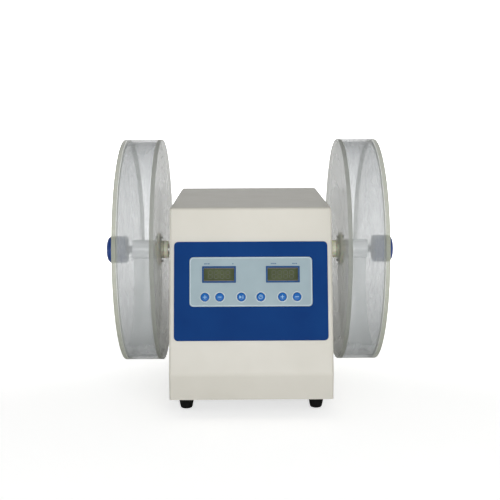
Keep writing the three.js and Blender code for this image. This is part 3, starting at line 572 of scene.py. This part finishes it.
def makeCamera():
    view = {"place": (-0.010, -1.1355, 0.3869), "down": 10.305, "right": 0.504, "roll": -0.187, "lens": 61.5}
    bpy.ops.object.camera_add(location=view["place"])
    camera = bpy.context.object
    pitch, yaw = math.radians(view["down"]), math.radians(view["right"])
    ahead = Vector((math.sin(yaw) * math.cos(pitch), math.cos(yaw) * math.cos(pitch), -math.sin(pitch)))
    aim = ahead.to_track_quat("-Z", "Y").to_matrix().to_4x4()
    roll = Matrix.Rotation(math.radians(view["roll"]), 4, "Z")
    camera.matrix_world = Matrix.Translation(view["place"]) @ aim @ roll
    camera.data.sensor_width = 36
    camera.data.lens = view["lens"]
    bpy.context.scene.camera = camera


makeCamera()

# cabinet

# inner and outer are measured in from the cabinet's side, head down from its top
rearFlange = {"inner": 13.5, "outer": 1, "thick": 1.2, "behind": 0.6, "foot": 2, "head": 3}
shaftHole = {"radius": 9, "start": 90, "end": 110}
window = {"x": (-39, 39), "middle": 121.2, "width": 39, "height": 18, "corner": 0.6, "play": 1}


def makeCabinet():
    # the wrap is a solid first, then its folds are rounded, its back and bottom are opened
    # and it gets its thickness, its rear flanges and its holes
    low, high = shellLow, shellHigh
    corners = [(low.y, low.z), (low.y, creaseZ), (slopeTopY, high.z), (high.y, high.z), (high.y, low.z)]
    wrap = chain([(low.x, y, z) for y, z in corners])
    bpy.ops.mesh.edge_face_add()
    bpy.ops.mesh.extrude_region_move(TRANSFORM_OT_translate={"value": (high.x - low.x, 0, 0)})
    bpy.ops.mesh.select_all(action="SELECT")
    bpy.ops.mesh.normals_make_consistent(inside=False)
    near = 0.1 * mm
    pickEdges(lambda middle, along: middle.z > low.z + near and middle.y < high.y - near)
    bpy.ops.mesh.bevel(offset=cabinet["round"] * mm, segments=6, affect="EDGES")
    pickFaces(lambda middle, normal: middle.z < low.z + near or middle.y > high.y - near)
    bpy.ops.mesh.delete(type="FACE")
    choose(wrap)
    bpy.ops.object.modifier_add(type="SOLIDIFY")
    shell = wrap.modifiers[-1]
    shell.thickness = cabinet["sheet"] * mm
    shell.offset = -1
    shell.use_even_offset = True
    bpy.ops.object.modifier_apply(modifier=shell.name)
    flanges = []
    rear = high.y / mm - 2 * cabinet["sheet"] - rearFlange["behind"]
    for side in sides.values():
        inner = side * (high.x / mm - rearFlange["inner"])
        outer = side * (high.x / mm - rearFlange["outer"])
        left, right = sorted((inner, outer))
        bottom, top = low.z / mm + rearFlange["foot"], high.z / mm - rearFlange["head"]
        flanges.append(block((left, rear, bottom), (right, rear + rearFlange["thick"], top)))
    wrap = joined(wrap, *flanges)
    wide, tall = window["width"] + 2 * window["play"], window["height"] + 2 * window["play"]
    windows = [slab(x, window["middle"], wide, tall, -4, 2, slope) for x in window["x"]]
    hole = rod(shaftHole["radius"], shaftHole["start"], shaftHole["end"])
    holes = [turned(hole, alongShaft(side), 32) for side in sides.values()]
    cutAway(wrap, *windows, *holes)
    return finished(wrap, "cabinet", "cabinet", [cream], ["cabinet_shell"], 30)


makeCabinet()
print("cabinet done")

# control panel, all in mm across and up the slope

panel = {"width": 188, "height": 121, "foot": 40.5, "thick": 1.2, "corner": 5}
pad = {"width": 150, "height": 60.5, "foot": 82, "corner": 5}
keys = {"x": (-56.2, -38.2, -11.85, 11.85, 38.2, 56.2), "row": 93.6, "radius": 5.2, "hole": 5.6}
panelFace = seat + panel["thick"]
panelCut = (-1, 3)  # from behind the panel to well in front of it
sunk = panelFace - 0.05  # ink and rims start just inside the sheet
padMiddle = pad["foot"] + pad["height"] / 2


def makePanel():
    gap = 0.4  # round the membrane, both sides together
    middle = panel["foot"] + panel["height"] / 2
    sheet = slab(0, middle, panel["width"], panel["height"], seat, panelFace, slope, panel["corner"])
    hole = slab(0, padMiddle, pad["width"] + gap, pad["height"] + gap, *panelCut, slope, pad["corner"])
    cutAway(sheet, hole)
    soften(sheet, 0.3, 2)
    finished(sheet, "bluePanel", "cabinet", [blueFilm], ["control_panel"])


def keyPlace(x):
    # on the slope, at the middle of the key at x
    return slope @ Matrix.Translation((x * mm, keys["row"] * mm, 0))


def makeMembrane():
    sheet = slab(0, padMiddle, pad["width"], pad["height"], seat, panelFace, slope, pad["corner"])
    wide, tall, corner = window["width"], window["height"], window["corner"]
    cutters = [slab(x, window["middle"], wide, tall, *panelCut, slope, corner) for x in window["x"]]
    cutters += [turned(rod(keys["hole"], *panelCut), keyPlace(x), 40) for x in keys["x"]]
    cutAway(sheet, *cutters)
    soften(sheet, 0.2, 2)
    finished(sheet, "keypadMembrane", "cabinet", [membrane], ["keypad_membrane"])


makePanel()
makeMembrane()
print("panel done")


def copied(piece, offset):
    # a copy with its own mesh, moved by offset in metres
    choose(piece)
    bpy.ops.object.duplicate()
    twin = bpy.context.object
    bpy.ops.transform.translate(value=offset)
    bpy.ops.object.transform_apply(location=True, rotation=False, scale=False)
    return twin


display = {
    "width": 47,
    "height": 24,
    "back": -7.1,
    "front": -1.8,
    "edge": 3.2,
    "polariser": 1.9,
    "raised": 0.2,
}
digit = {"stroke": 0.8, "reach": 3.6, "gap": 0.3, "pitch": 7.2, "count": 4, "ink": 0.02}
surround = {
    "outer": (41.5, 20.5),
    "inner": (38.7, 17.7),
    "hole": (37.4, 16.4),
    "stands": 0.4,
    "back": -1.4,
    "corner": 0.8,
    "holeCorner": 0.5,
}


def makeDisplay(name, x):
    # a tray behind the sheet holds the glass; unlit segments show faintly on it
    y = window["middle"]
    tray = slab(x, y, display["width"], display["height"], display["back"], display["front"], slope)
    edit(tray)
    out = slope.to_3x3() @ Vector((0, 0, 1))
    pickFaces(lambda middle, normal: normal.dot(out) > 0.99)
    bpy.ops.mesh.inset(thickness=display["edge"] * mm)
    bpy.ops.mesh.extrude_region_move(TRANSFORM_OT_translate={"value": out * display["raised"] * mm})
    bpy.ops.mesh.inset(thickness=display["polariser"] * mm)
    bpy.ops.object.mode_set(mode="OBJECT")
    top = display["front"] + display["raised"]
    face = slope @ Vector((x * mm, y * mm, top * mm))
    isGlass = lambda middle: abs((middle - face).dot(out)) < 0.01 * mm
    nearMiddle = lambda middle: (middle - face).length < 0.5 * mm
    materials = [blackPlastic, polariserEdge, lcdGlass]
    finished(tray, f"lcdModule_{name}", "cabinet", materials, [f"display_{name}"], 20)
    giveFaces(tray, 1, lambda middle, normal: isGlass(middle))
    giveFaces(tray, 2, lambda middle, normal: nearMiddle(middle))

    reach, stroke = digit["reach"], digit["stroke"]
    step = reach + stroke + digit["gap"]
    level = [(0, up, reach, stroke) for up in (1, 0, -1)]
    upright = [(across, up, stroke, reach) for up in (0.5, -0.5) for across in (-0.5, 0.5)]
    bars = []
    for across, up, width, height in level + upright:
        spot = (x + across * step, y + up * step)
        bars.append(slab(*spot, width, height, top - digit["ink"], top + digit["ink"], slope))
    figure = joined(*bars)
    places = [(i - (digit["count"] - 1) / 2) * digit["pitch"] * mm for i in range(digit["count"])]
    figures = joined(*[copied(figure, (place, 0, 0)) for place in places])
    bpy.data.objects.remove(figure)
    finished(figures, f"unlitSegments_{name}", "cabinet", [segmentInk])

    # two rings, one standing on the sheet and one behind it, each cut before they are joined
    rings = []
    for size, start, end in (
        (surround["outer"], panelFace, panelFace + surround["stands"]),
        (surround["inner"], surround["back"], sunk),
    ):
        around = slab(x, y, *size, start, end, slope, surround["corner"])
        cutAway(around, slab(x, y, *surround["hole"], -3, 3, slope, surround["holeCorner"]))
        rings.append(soften(around, 0.12, 2))
    finished(joined(*rings), f"displaySurround_{name}", "cabinet", [navyPlastic])


symbol = {"low": 2.3, "high": 2.78, "long": 4.4, "thin": 0.8}


def keySymbol(kind, x):
    # flat marks that stand a hair above the dome; where two cross, one is a touch lower
    low, high, y = symbol["low"], symbol["high"], keys["row"]
    under = high - 0.01
    long, thin = symbol["long"], symbol["thin"]
    if kind == "plus":
        return [slab(x, y, long, thin, low, high, slope), slab(x, y, thin, long, low, under, slope)]
    if kind == "minus":
        return [slab(x, y, long, thin, low, high, slope)]
    if kind == "start":
        arrow = outlined([(x - 2.4, y - 2), (x + 0.6, y), (x - 2.4, y + 2)], low, high, slope)
        return [arrow, slab(x + 2, y, 1, 4, low, high, slope)]
    dial = turned(ring(2.0, 2.6, low, high), keyPlace(x), 32)
    minuteHand = slab(x, y + 0.7, 0.7, 1.9, low, high, slope)
    return [dial, minuteHand, slab(x + 0.6, y, 1.9, 0.7, low, under, slope)]


def makeKeys():
    radius = keys["radius"]
    profile = [(0, -4.7), (2.5, -4.7), (2.5, 0.9), (radius, 0.9), (radius, 1.7), (radius - 0.12, 1.95)]
    profile += [(radius - 0.5, 2.2), (radius - 1.2, 2.4), (radius - 2.2, 2.56)]
    profile += [(radius - 3.6, 2.66), (0, 2.7)]
    kinds = ("plus", "minus", "start", "timer", "plus", "minus")
    for number, (x, kind) in enumerate(zip(keys["x"], kinds), 1):
        cap = turned(profile, keyPlace(x), 48)
        faces = len(cap.data.polygons)
        cap = joined(cap, *keySymbol(kind, x))
        node = f"key_{number}"
        finished(cap, f"keyCap_{number}", node, [keyBlue, keyInk], [node], 30)
        for face in cap.data.polygons[faces:]:
            face.material_index = 1


line = {"inset": 0.7, "width": 0.8, "haloStart": 0.1, "haloEnd": 0.9}
# where each caption starts, and the widths of its dashes
captions = {
    "row": 134.3,
    "height": 1.3,
    "gap": 0.5,
    "dashes": (
        (-57, (1.9, 1.2, 2.4)),
        (-22.6, (1.2,)),
        (24.4, (1.4, 1.9, 2.2)),
        (50.6, (1.9, 1.3, 1.6)),
    ),
}


def makePrint():
    # ink on the membrane: a pale line round its edge, a pale ring round each key
    # and plain dashes over the displays
    top = panelFace + 0.03
    outer = (pad["width"] - 2 * line["inset"], pad["height"] - 2 * line["inset"])
    inner = (outer[0] - 2 * line["width"], outer[1] - 2 * line["width"])
    border = slab(0, padMiddle, *outer, sunk, top, slope, pad["corner"] - line["inset"])
    hole = slab(0, padMiddle, *inner, 0, 3, slope, pad["corner"] - line["inset"] - line["width"])
    cutAway(border, hole)
    halo = ring(keys["hole"] + line["haloStart"], keys["hole"] + line["haloEnd"], sunk, top)
    rings = [turned(halo, keyPlace(x), 48) for x in keys["x"]]
    pale = joined(border, *rings)
    finished(pale, "membraneOutlines", "cabinet", [haloInk])
    dashes = []
    for start, widths in captions["dashes"]:
        x = start
        for width in widths:
            dashes.append(slab(x + width / 2, captions["row"], width, captions["height"], sunk, top, slope))
            x += width + captions["gap"]
    finished(joined(*dashes), "captionDashes", "cabinet", [captionInk])


for name, x in zip(sides, window["x"]):
    makeDisplay(name, x)
makeKeys()
makePrint()
print("displays and keys done")

# feet, base and back


def makeFeet():
    for name in ("front_left", "front_right", "rear_left", "rear_right"):
        low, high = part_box(f"foot_{name}")
        place = Matrix.Translation(((low.x + high.x) / 2, (low.y + high.y) / 2, 0))
        top, outer = high.z / mm, (high.x - low.x) / 2 / mm
        profile = [(0, 9), (3.6, 9), (3.6, 0.8), (4.2, 0), (6.5, 0), (7.1, 0.3), (7.5, 1.2), (7.8, 2.4)]
        profile += [(outer - 0.1, top - 1.2), (outer, top - 0.6), (outer - 0.4, top), (0, top)]
        foot = turned(profile, place, 48)
        finished(foot, f"rubberFoot_{name}", "cabinet", [rubber], [f"foot_{name}"], 30)
        screw = turned([(0, 8.9), (3.1, 8.9), (3.1, 7.8), (2.6, 7.1), (1.4, 6.8), (0, 6.7)], place, 32)
        cross = [slab(0, 0, 3.4, 0.8, 6, 7.6, place), slab(0, 0, 0.8, 3.4, 6, 7.6, place)]
        cutAway(screw, *cross)
        finished(screw, f"footScrew_{name}", "cabinet", [zinc])


vents = {"count": 9, "width": 3, "height": 46, "pitch": 8, "middle": 180}
rearOpenings = {"inlet": (-58, 78, 27.6, 48.6), "switch": (-12, 78, 17.6, 29.6)}  # middle, then size
rearCut = (-4, 3)


def makeRearPanel():
    low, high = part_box("rear_panel")
    behind = outOfBack(0, 0)
    sheet = block([v / mm for v in low], [v / mm for v in high])
    slots = []
    corner = vents["width"] / 2 - 0.01
    for i in range(vents["count"]):
        x = (i - (vents["count"] - 1) / 2) * vents["pitch"]
        slots.append(slab(x, vents["middle"], vents["width"], vents["height"], *rearCut, behind, corner))
    for opening in rearOpenings.values():
        slots.append(slab(*opening, *rearCut, behind, 1))
    for number in range(1, 5):
        a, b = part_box(f"rear_screw_{number}")
        spot = outOfBack((a.x + b.x) / 2, (a.z + b.z) / 2)
        slots.append(turned(rod(1.8, *rearCut), spot, 24))
    cutAway(sheet, joined(*slots))
    soften(sheet, 0.25, 2)
    finished(sheet, "rearPanel", "cabinet", [cream], ["rear_panel"], 30)


def makeRearScrews():
    for number in range(1, 5):
        low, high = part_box(f"rear_screw_{number}")
        place = outOfBack((low.x + high.x) / 2, (low.z + high.z) / 2)
        end = (high.y - shellHigh.y) / mm
        profile = [(0, -7.7), (1.3, -7.7), (1.5, -7.3), (1.5, seat), (3.2, seat), (3.2, 1.1)]
        profile += [(3, 1.7), (2.3, 2.2), (1.2, end - 0.05), (0, end)]
        screw = turned(profile, place, 40)
        long, wide, depth = 3.6, 0.7, (end - 1.1, end + 1)
        cutAway(screw, slab(0, 0, long, wide, *depth, place), slab(0, 0, wide, long, *depth, place))
        soften(screw, 0.1, 2)
        node = f"rear_screw_{number}"
        finished(screw, f"rearScrew_{number}", "cabinet", [stainless], [node])


inlet = {
    "x": 58,
    "z": 78,
    "face": 2.5,
    "rim": (34, 56),
    "body": (27, 48),
    "depth": 25,
    "socket": 12,
    "socketDepth": 17,
    "mouth": (12.2, 8.2, 4),  # half its width, half its height, its cut corners
    "pin": (2, 4),
    "pins": ((-7, -2), (0, 2), (7, -2)),
    "drawer": -13.5,
    "drawerSize": (23, 8.4, 18),
    "drawerGap": 0.3,
}


def makeInlet():
    # appliance inlet with a fuse drawer under its socket, in mm across, up and out of the rear panel
    face, socket, drawerY = inlet["face"], inlet["socket"], inlet["drawer"]
    place = outOfBack(inlet["x"] * mm, inlet["z"] * mm)
    rim = slab(0, 0, *inlet["rim"], seat, face, place, 3)
    soften(rim, 0.5, 3)
    body = slab(0, 0, *inlet["body"], face - inlet["depth"], 1.5, place, 1)
    wide, tall, corner = inlet["mouth"]
    mouth = [(-wide, -tall), (wide, -tall), (wide, tall - corner)]
    mouth += [(wide - corner, tall), (corner - wide, tall), (-wide, tall - corner)]
    mouth = [(x, y + socket) for x, y in mouth]
    cavity = outlined(mouth, face - inlet["socketDepth"], face + 2, place)
    drawerWide, drawerTall, drawerDeep = inlet["drawerSize"]
    gap = inlet["drawerGap"]
    bottom = face - drawerDeep - gap
    drawerHole = slab(0, drawerY, drawerWide + 2 * gap, drawerTall + 2 * gap, bottom, face + 2, place)
    housing = joined(rim, body)
    cutAway(housing, cavity, drawerHole)
    finished(housing, "mainsInlet", "cabinet", [blackPlastic], ["mains_inlet"], 30)
    pins = []
    for x, y in inlet["pins"]:
        pin = slab(x, y + socket, *inlet["pin"], face - inlet["socketDepth"], face - 2, place)
        pins.append(soften(pin, 0.4, 3))
    finished(joined(*pins), "inletPins", "cabinet", [stainless])

    place = outOfBack(inlet["x"] * mm, inlet["z"] * mm + drawerY * mm)
    drawer = slab(0, 0, drawerWide, drawerTall, face - drawerDeep, face + 1, place, 0.4)
    bed = slab(0, drawerTall / 2, 20, drawerTall, -13, -2, place)
    grip = slab(0, -drawerTall / 2, 6, 3, face - 1, face + 2, place)
    cutAway(drawer, bed, grip)
    soften(drawer, 0.25, 2)
    finished(drawer, "fuseDrawer", "fuse_drawer", [blackPlastic], ["fuse_drawer"], 30)
    middle = Matrix.Translation((0, 2.1 * mm, -7.5 * mm))
    across = place @ middle @ Matrix.Rotation(math.pi / 2, 4, "Y")
    # steel caps at both ends, a glass body between them
    outline = [(0, -9.6), (1.9, -9.6), (2, -9.4), (2, -4.6), (1.7, -4.4)]
    outline += [(1.7, 4.4), (2, 4.6), (2, 9.4), (1.9, 9.6), (0, 9.6)]
    fuse = turned(outline, across, 24)
    finished(fuse, "glassFuse", "fuse_drawer", [stainless, acrylic])
    giveFaces(fuse, 1, lambda middle, normal: abs(middle.x - inlet["x"] * mm) < 4.4 * mm)


switch = {
    "x": 12,
    "z": 78,
    "face": 2.5,
    "rim": (21, 33),
    "box": (17, 29),
    "depth": 14.5,
    "well": (13.6, 26.6),
    "wellDepth": 12.5,
    "pivot": 4.5,  # how far its axis lies behind the face
    "turn": -10,
    "dip": 6.3,  # from the axis to the lowest line of the rocker's hollow face
    "crown": 1.3,
    "half": 12.1,
    "wide": 13,
    "steps": 12,
    "mark": 6.6,
}


def makeSwitch():
    x, z, face = switch["x"] * mm, switch["z"] * mm, switch["face"]
    place = outOfBack(x, z)
    bezel = slab(0, 0, *switch["rim"], seat, face, place, 1.5)
    soften(bezel, 0.5, 3)
    bezel = joined(bezel, slab(0, 0, *switch["box"], face - switch["depth"], 1.5, place, 0.5))
    cutAway(bezel, slab(0, 0, *switch["well"], face - switch["wellDepth"], face + 2, place, 0.5))
    finished(bezel, "switchFrame", "cabinet", [blackPlastic], ["switch_frame"], 30)

    pivot = Matrix.Translation((x, shellHigh.y + (face - switch["pivot"]) * mm, z))
    tilted = pivot @ Matrix.Rotation(math.radians(switch["turn"]), 4, "X")
    half, crown = switch["half"], switch["crown"]

    def hollow(up):
        # how far out the rocker's face stands at a height from its middle
        return switch["dip"] + crown * (up / (half - 1)) ** 2

    heights = [(2 * i / switch["steps"] - 1) * (half - 1) for i in range(switch["steps"] + 1)]
    curve = [(hollow(up), up) for up in heights]
    outline = [(-1.5, -half), (6.6, -half), *curve, (6.6, half), (-1.5, half), (-6, 5), (-6, -5)]
    rocker = outlined(outline, -switch["wide"] / 2, switch["wide"] / 2, tilted @ yzx)
    soften(rocker, 0.4, 2, 30)
    faces = len(rocker.data.polygons)
    marks = []
    for end in (-1, 1):
        up = switch["mark"] * end
        lean = math.atan(2 * crown * up / (half - 1) ** 2)
        spot = tilted @ Matrix.Translation((0, hollow(up) * mm, up * mm)) @ Matrix.Rotation(-lean, 4, "X")
        spot = spot @ Matrix.Rotation(math.pi, 4, "Z") @ Matrix.Rotation(math.pi / 2, 4, "X")
        if end > 0:
            marks.append(slab(0, 0, 0.9, 5, -0.3, 0.12, spot))
        else:
            marks.append(turned(ring(1.7, 2.5, -0.3, 0.12), spot, 32))
    rocker = joined(rocker, *marks)
    materials = [blackPlastic, whiteInk]
    finished(rocker, "powerRocker", "power_rocker", materials, ["power_rocker"], 30)
    for face in rocker.data.polygons[faces:]:
        face.material_index = 1


def makeSeals():
    for name, side in sides.items():
        start, end, outer = distances(f"shaft_seal_{name}")
        profile = [(6.4, start), (outer, start), (outer, end - 0.8), (outer - 0.8, end), (10.5, end)]
        profile += [(10, end - 0.7), (7.6, end - 0.7), (7.2, end), (6.4, end), (6.4, start)]
        seal = turned(profile, alongShaft(side), 64)
        finished(seal, f"shaftSeal_{name}", "cabinet", [nylon], [f"shaft_seal_{name}"])


makeFeet()
makeRearPanel()
makeRearScrews()
makeInlet()
makeSwitch()
makeSeals()
print("feet and back done")

# drums: plates, ring, tube and slide are separate pieces of acrylic


def letsLight(piece):
    piece.visible_shadow = False  # what is clear shades nothing behind it


# radii, and how far in from the ring's outside the spigot lies
drum = {
    "plateHole": 11.8,
    "wall": 3.5,
    "coverHole": 5.3,
    "spigot": 3.9,
    "step": 1.5,
    "tubeBore": 6.3,
    "sides": 128,
}


def makeDrum(name, side):
    place = alongShaft(side)
    isRim = lambda middle, normal: abs(normal.x) < 0.5 and math.hypot(middle.y, middle.z - axle.z) > 0.1
    isEnd = lambda middle, normal: abs(normal.x) > 0.5

    node = f"drum_back_plate_{name}"
    start, end, outer = distances(node)
    plate = turned(ring(drum["plateHole"], outer, start, end), place, drum["sides"])
    soften(plate, 0.5, 2)
    # plate and rim take darker greys than the ring and cover: painted shade
    materials = [plateAcrylicPaintedShade, plateEdgePaintedShade]
    finished(plate, f"drumBackPlate_{name}", "rotor", materials, [node])
    giveFaces(plate, 1, isRim)
    letsLight(plate)

    node = f"drum_ring_{name}"
    start, end, outer = distances(node)
    band = turned(ring(outer - drum["wall"], outer, start, end), place, drum["sides"])
    soften(band, 0.3, 2)
    finished(band, f"drumRing_{name}", "rotor", [acrylic, coverEdge], [node])
    giveFaces(band, 1, isEnd)
    letsLight(band)

    node = f"drum_cover_{name}"
    start, end, outer = distances(node)
    hole, spigot, step = drum["coverHole"], outer - drum["spigot"], start + drum["step"]
    profile = [(hole, start), (spigot, start), (spigot, step), (outer, step), (outer, end), (hole, end)]
    cover = turned([*profile, (hole, start)], place, drum["sides"])
    soften(cover, 0.5, 2)
    materials = [coverAcrylic, coverEdge]
    finished(cover, f"drumCover_{name}", f"cover_{name}", materials, [node])
    giveFaces(cover, 1, isRim)
    letsLight(cover)

    node = f"drum_hub_tube_{name}"
    start, end, outer = distances(node)
    tube = turned(ring(drum["tubeBore"], outer, start, end), place, 64)
    soften(tube, 0.3, 2)
    # the tube's near-white acrylic is a painted highlight
    finished(tube, f"hubTube_{name}", "rotor", [tubeAcrylicPaintedHighlight], [node])
    letsLight(tube)

    makeSlide(name, side)
    makeHub(name, side)


# a bow from the hub tube to the ring, cut clear of the flange and its screws
arm = {
    "inner": 80.5,
    "thick": 3,
    "hub": 12.8,
    "rim": 143.2,
    "hubAngle": -69,
    "rimAngle": -128,
    "steps": 40,
    "flangeRadius": 22.3,
    "flangeDepth": 6.9,
}


def makeSlide(name, side):
    half = arm["thick"] / 2
    middle = arm["inner"] + half

    def polar(radius, degrees):
        return Vector((radius * math.cos(math.radians(degrees)), radius * math.sin(math.radians(degrees))))

    top = polar(arm["hub"] + half, arm["hubAngle"])
    foot = polar(arm["rim"] - half - seat, arm["rimAngle"])
    chord = foot - top
    aside = Vector((-chord.y, chord.x)).normalized()
    centre = (top + foot) / 2 - aside * math.sqrt(middle**2 - (chord.length / 2) ** 2)
    first = math.atan2(top.y - centre.y, top.x - centre.x)
    last = math.atan2(foot.y - centre.y, foot.x - centre.x)
    turns = [first + (last - first) * i / arm["steps"] for i in range(arm["steps"] + 1)]

    def bow(radius):
        return [(centre.x + radius * math.cos(a), centre.y + radius * math.sin(a)) for a in turns]

    outline = [*bow(middle + half), *reversed(bow(middle - half))]
    node = f"drum_slide_{name}"
    low, high = sorted(side * value for value in distances(node)[:2])
    blade = outlined(outline, low, high, Matrix.Translation(axle) @ yzx)
    inner = distances(f"drum_back_plate_{name}")[1]
    around = rod(arm["flangeRadius"], inner - 1, inner + arm["flangeDepth"])
    cutAway(blade, turned(around, alongShaft(side), 48))
    soften(blade, 0.35, 2)
    # the slide's near-white edge is a painted highlight
    finished(blade, f"drumSlide_{name}", "rotor", [slideAcrylic, slideEdgePaintedHighlight], [node])
    giveFaces(blade, 1, lambda middle, normal: abs(normal.x) > 0.6)
    letsLight(blade)


hub = {"bore": 6.3, "sleeve": 11.5, "flange": 3.4, "screwCircle": 16}


def makeHub(name, side):
    place = alongShaft(side)
    start, end, outer = distances(f"hub_flange_{name}")
    face = distances(f"drum_back_plate_{name}")[1] + seat
    sleeve, bore, back = hub["sleeve"], hub["bore"], face + hub["flange"]
    profile = [(bore, start), (sleeve, start), (sleeve, face), (outer, face), (outer, back)]
    profile += [(sleeve + 0.7, back), (sleeve, back + 0.7), (sleeve, end), (bore, end), (bore, start)]
    flange = turned(profile, place, 64)
    soften(flange, 0.5, 3)
    finished(flange, f"hubFlange_{name}", "rotor", [nylon], [f"hub_flange_{name}"])
    for where, end in (("top", 1), ("bottom", -1)):
        node = f"flange_screw_{name}_{where}"
        tip, head, _ = distances(node)
        outline = [(0, tip), (1.3, tip), (1.5, tip + 0.3), (1.5, head - 2.6), (2.9, head - 2.6)]
        outline += [(2.9, head - 0.9), (2.3, head - 0.25), (1.2, head), (0, head)]
        across = Matrix.Translation((0, 0, end * hub["screwCircle"] * mm)) @ place
        screw = turned(outline, across, 32)
        cutAway(screw, slab(0, 0, 0.8, 7, head - 1.1, head + 1, across))
        soften(screw, 0.12, 2)
        finished(screw, f"flangeScrew_{name}_{where}", "rotor", [blackSteel], [node])


# a round-edged knob, hollow from behind; edge and drop are the two sizes of its round
grip = {"edge": 8.5, "drop": 6.4, "steps": 10, "bore": 5.3, "capWall": 8.7}


def makeKnob(name, side):
    start, end, outer = distances(f"drum_knob_{name}")
    profile = [(grip["bore"], start), (outer - 1, start), (outer, start + 1)]
    for i in range(grip["steps"] + 1):
        angle = i / grip["steps"] * math.pi / 2
        aside, down = grip["edge"] * (1 - math.cos(angle)), grip["drop"] * (1 - math.sin(angle))
        profile.append((outer - aside, end - down))
    boreEnd = end - grip["capWall"]
    profile += [(0, end), (0, boreEnd), (grip["bore"], boreEnd), (grip["bore"], start)]
    knob = turned(profile, alongShaft(side), 96)
    finished(knob, f"drumKnob_{name}", f"knob_{name}", [blueAbs], [f"drum_knob_{name}"])


bar = {"radius": 6, "end": 157}
thread = {"start": 159, "pitch": 1.5, "outer": 5, "root": 4.2}


def makeShaft():
    # stainless bar with a rolled thread on each end
    half, crest, root = shaftHigh.x / mm, thread["outer"], thread["root"]
    radius, end = bar["radius"], bar["end"]
    right = [(radius, 0), (radius, end), (crest, end + 0.4), (crest, thread["start"])]
    count = int((half - 1 - thread["start"]) / thread["pitch"])
    for i in range(count):
        at = thread["start"] + i * thread["pitch"]
        right += [(root, at + 0.6), (root, at + 0.8), (crest, at + 1.35), (crest, at + thread["pitch"])]
    right += [(crest - 1, half), (0, half)]
    left = [(radius, -height) for radius, height in reversed(right[1:])]
    shaft = turned([*left, *right], alongShaft(1), 48)
    finished(shaft, "mainShaft", "rotor", [stainless], ["main_shaft"])


for name, side in sides.items():
    makeDrum(name, side)
    makeKnob(name, side)
makeShaft()
print("drums done")

# stage and light, places and sizes in metres

stage = {
    "paper": "#F0F0EE",
    "dimSpot": (0, -0.75, 0),
    "dimRange": (0.7, 1.6),
    "farGlow": 1.49,
    "seenGlow": 0.6,
    "backdrop": 1.14,
    "overhead": 0.28,
    "front": 0.5,
}
lamps = {
    "keyLamp": {"place": (0.9, -1.9, 1.5), "size": 1.4, "power": 6.5},
    "frontLamp": {"place": (0, -2.2, 0.5), "size": 1.2, "power": 18},
}


def makeStage():
    bpy.ops.mesh.primitive_circle_add(vertices=96, radius=30, fill_type="NGON", location=(0, 0, -0.0002))
    floor = bpy.context.object
    floor.name = "floor"
    material, tree, shader = newMaterial("paleFloor", Roughness=0.7)
    shader.inputs["Base Color"].default_value = toLinear(stage["paper"])
    shader.inputs["Emission Color"].default_value = (1, 1, 1, 1)
    # the paper glows more the further it is from a spot in front,
    # so that it runs into the backdrop without a line
    place = addNode(tree, "ShaderNodeTexCoord").outputs["Object"]
    away = addNode(tree, "ShaderNodeVectorMath", {1: stage["dimSpot"]}, {0: place}, operation="DISTANCE")
    near, far = stage["dimRange"]
    fade = addNode(
        tree,
        "ShaderNodeMapRange",
        {"From Min": near, "From Max": far, "To Min": 0.0, "To Max": stage["farGlow"]},
        {"Value": away.outputs["Value"]},
        interpolation_type="SMOOTHSTEP",
    )
    # seen directly it is whiter than the light it throws on the cabinet
    seen = addNode(tree, "ShaderNodeLightPath").outputs["Is Camera Ray"]
    lift = addNode(tree, "ShaderNodeMath", {1: stage["seenGlow"]}, {0: seen}, operation="MULTIPLY")
    parts = {0: fade.outputs["Result"], 1: lift.outputs[0]}
    lit = addNode(tree, "ShaderNodeMath", links=parts, operation="ADD")
    tree.links.new(lit.outputs[0], shader.inputs["Emission Strength"])
    floor.data.materials.append(material)


def makeLight():
    scene = bpy.context.scene
    scene.view_settings.view_transform = "Standard"
    world = bpy.data.worlds.new("studio")
    scene.world = world
    world.use_nodes = True
    tree = world.node_tree
    # a white backdrop behind the object, dimmer towards the viewer and overhead
    place = addNode(tree, "ShaderNodeTexCoord").outputs["Generated"]
    parts = addNode(tree, "ShaderNodeSeparateXYZ", links={"Vector": place})
    up = ramp(tree, parts.outputs["Z"], [(0.12, 1.0), (0.5, stage["overhead"])])
    back = addNode(
        tree,
        "ShaderNodeMapRange",
        {"From Min": -0.5, "From Max": 0.5, "To Min": stage["front"], "To Max": 1.0},
        {"Value": parts.outputs["Y"]},
    )
    glow = addNode(tree, "ShaderNodeMath", links={0: up, 1: back.outputs["Result"]}, operation="MULTIPLY")
    # seen directly the backdrop is white all round
    seen = addNode(tree, "ShaderNodeLightPath").outputs["Is Camera Ray"]
    shown = addNode(tree, "ShaderNodeMath", links={0: glow.outputs[0], 1: seen}, operation="MAXIMUM")
    background = tree.nodes["Background"]
    tree.links.new(shown.outputs[0], background.inputs["Color"])
    background.inputs["Strength"].default_value = stage["backdrop"]
    for name, lamp in lamps.items():
        bpy.ops.object.light_add(type="AREA", location=lamp["place"])
        light = bpy.context.object
        light.name = name
        light.data.shape = "DISK"
        light.data.size = lamp["size"]
        light.data.energy = lamp["power"]
        light.rotation_euler = (axle - Vector(lamp["place"])).to_track_quat("-Z", "Y").to_euler()


makeStage()
makeLight()
print("stage done")
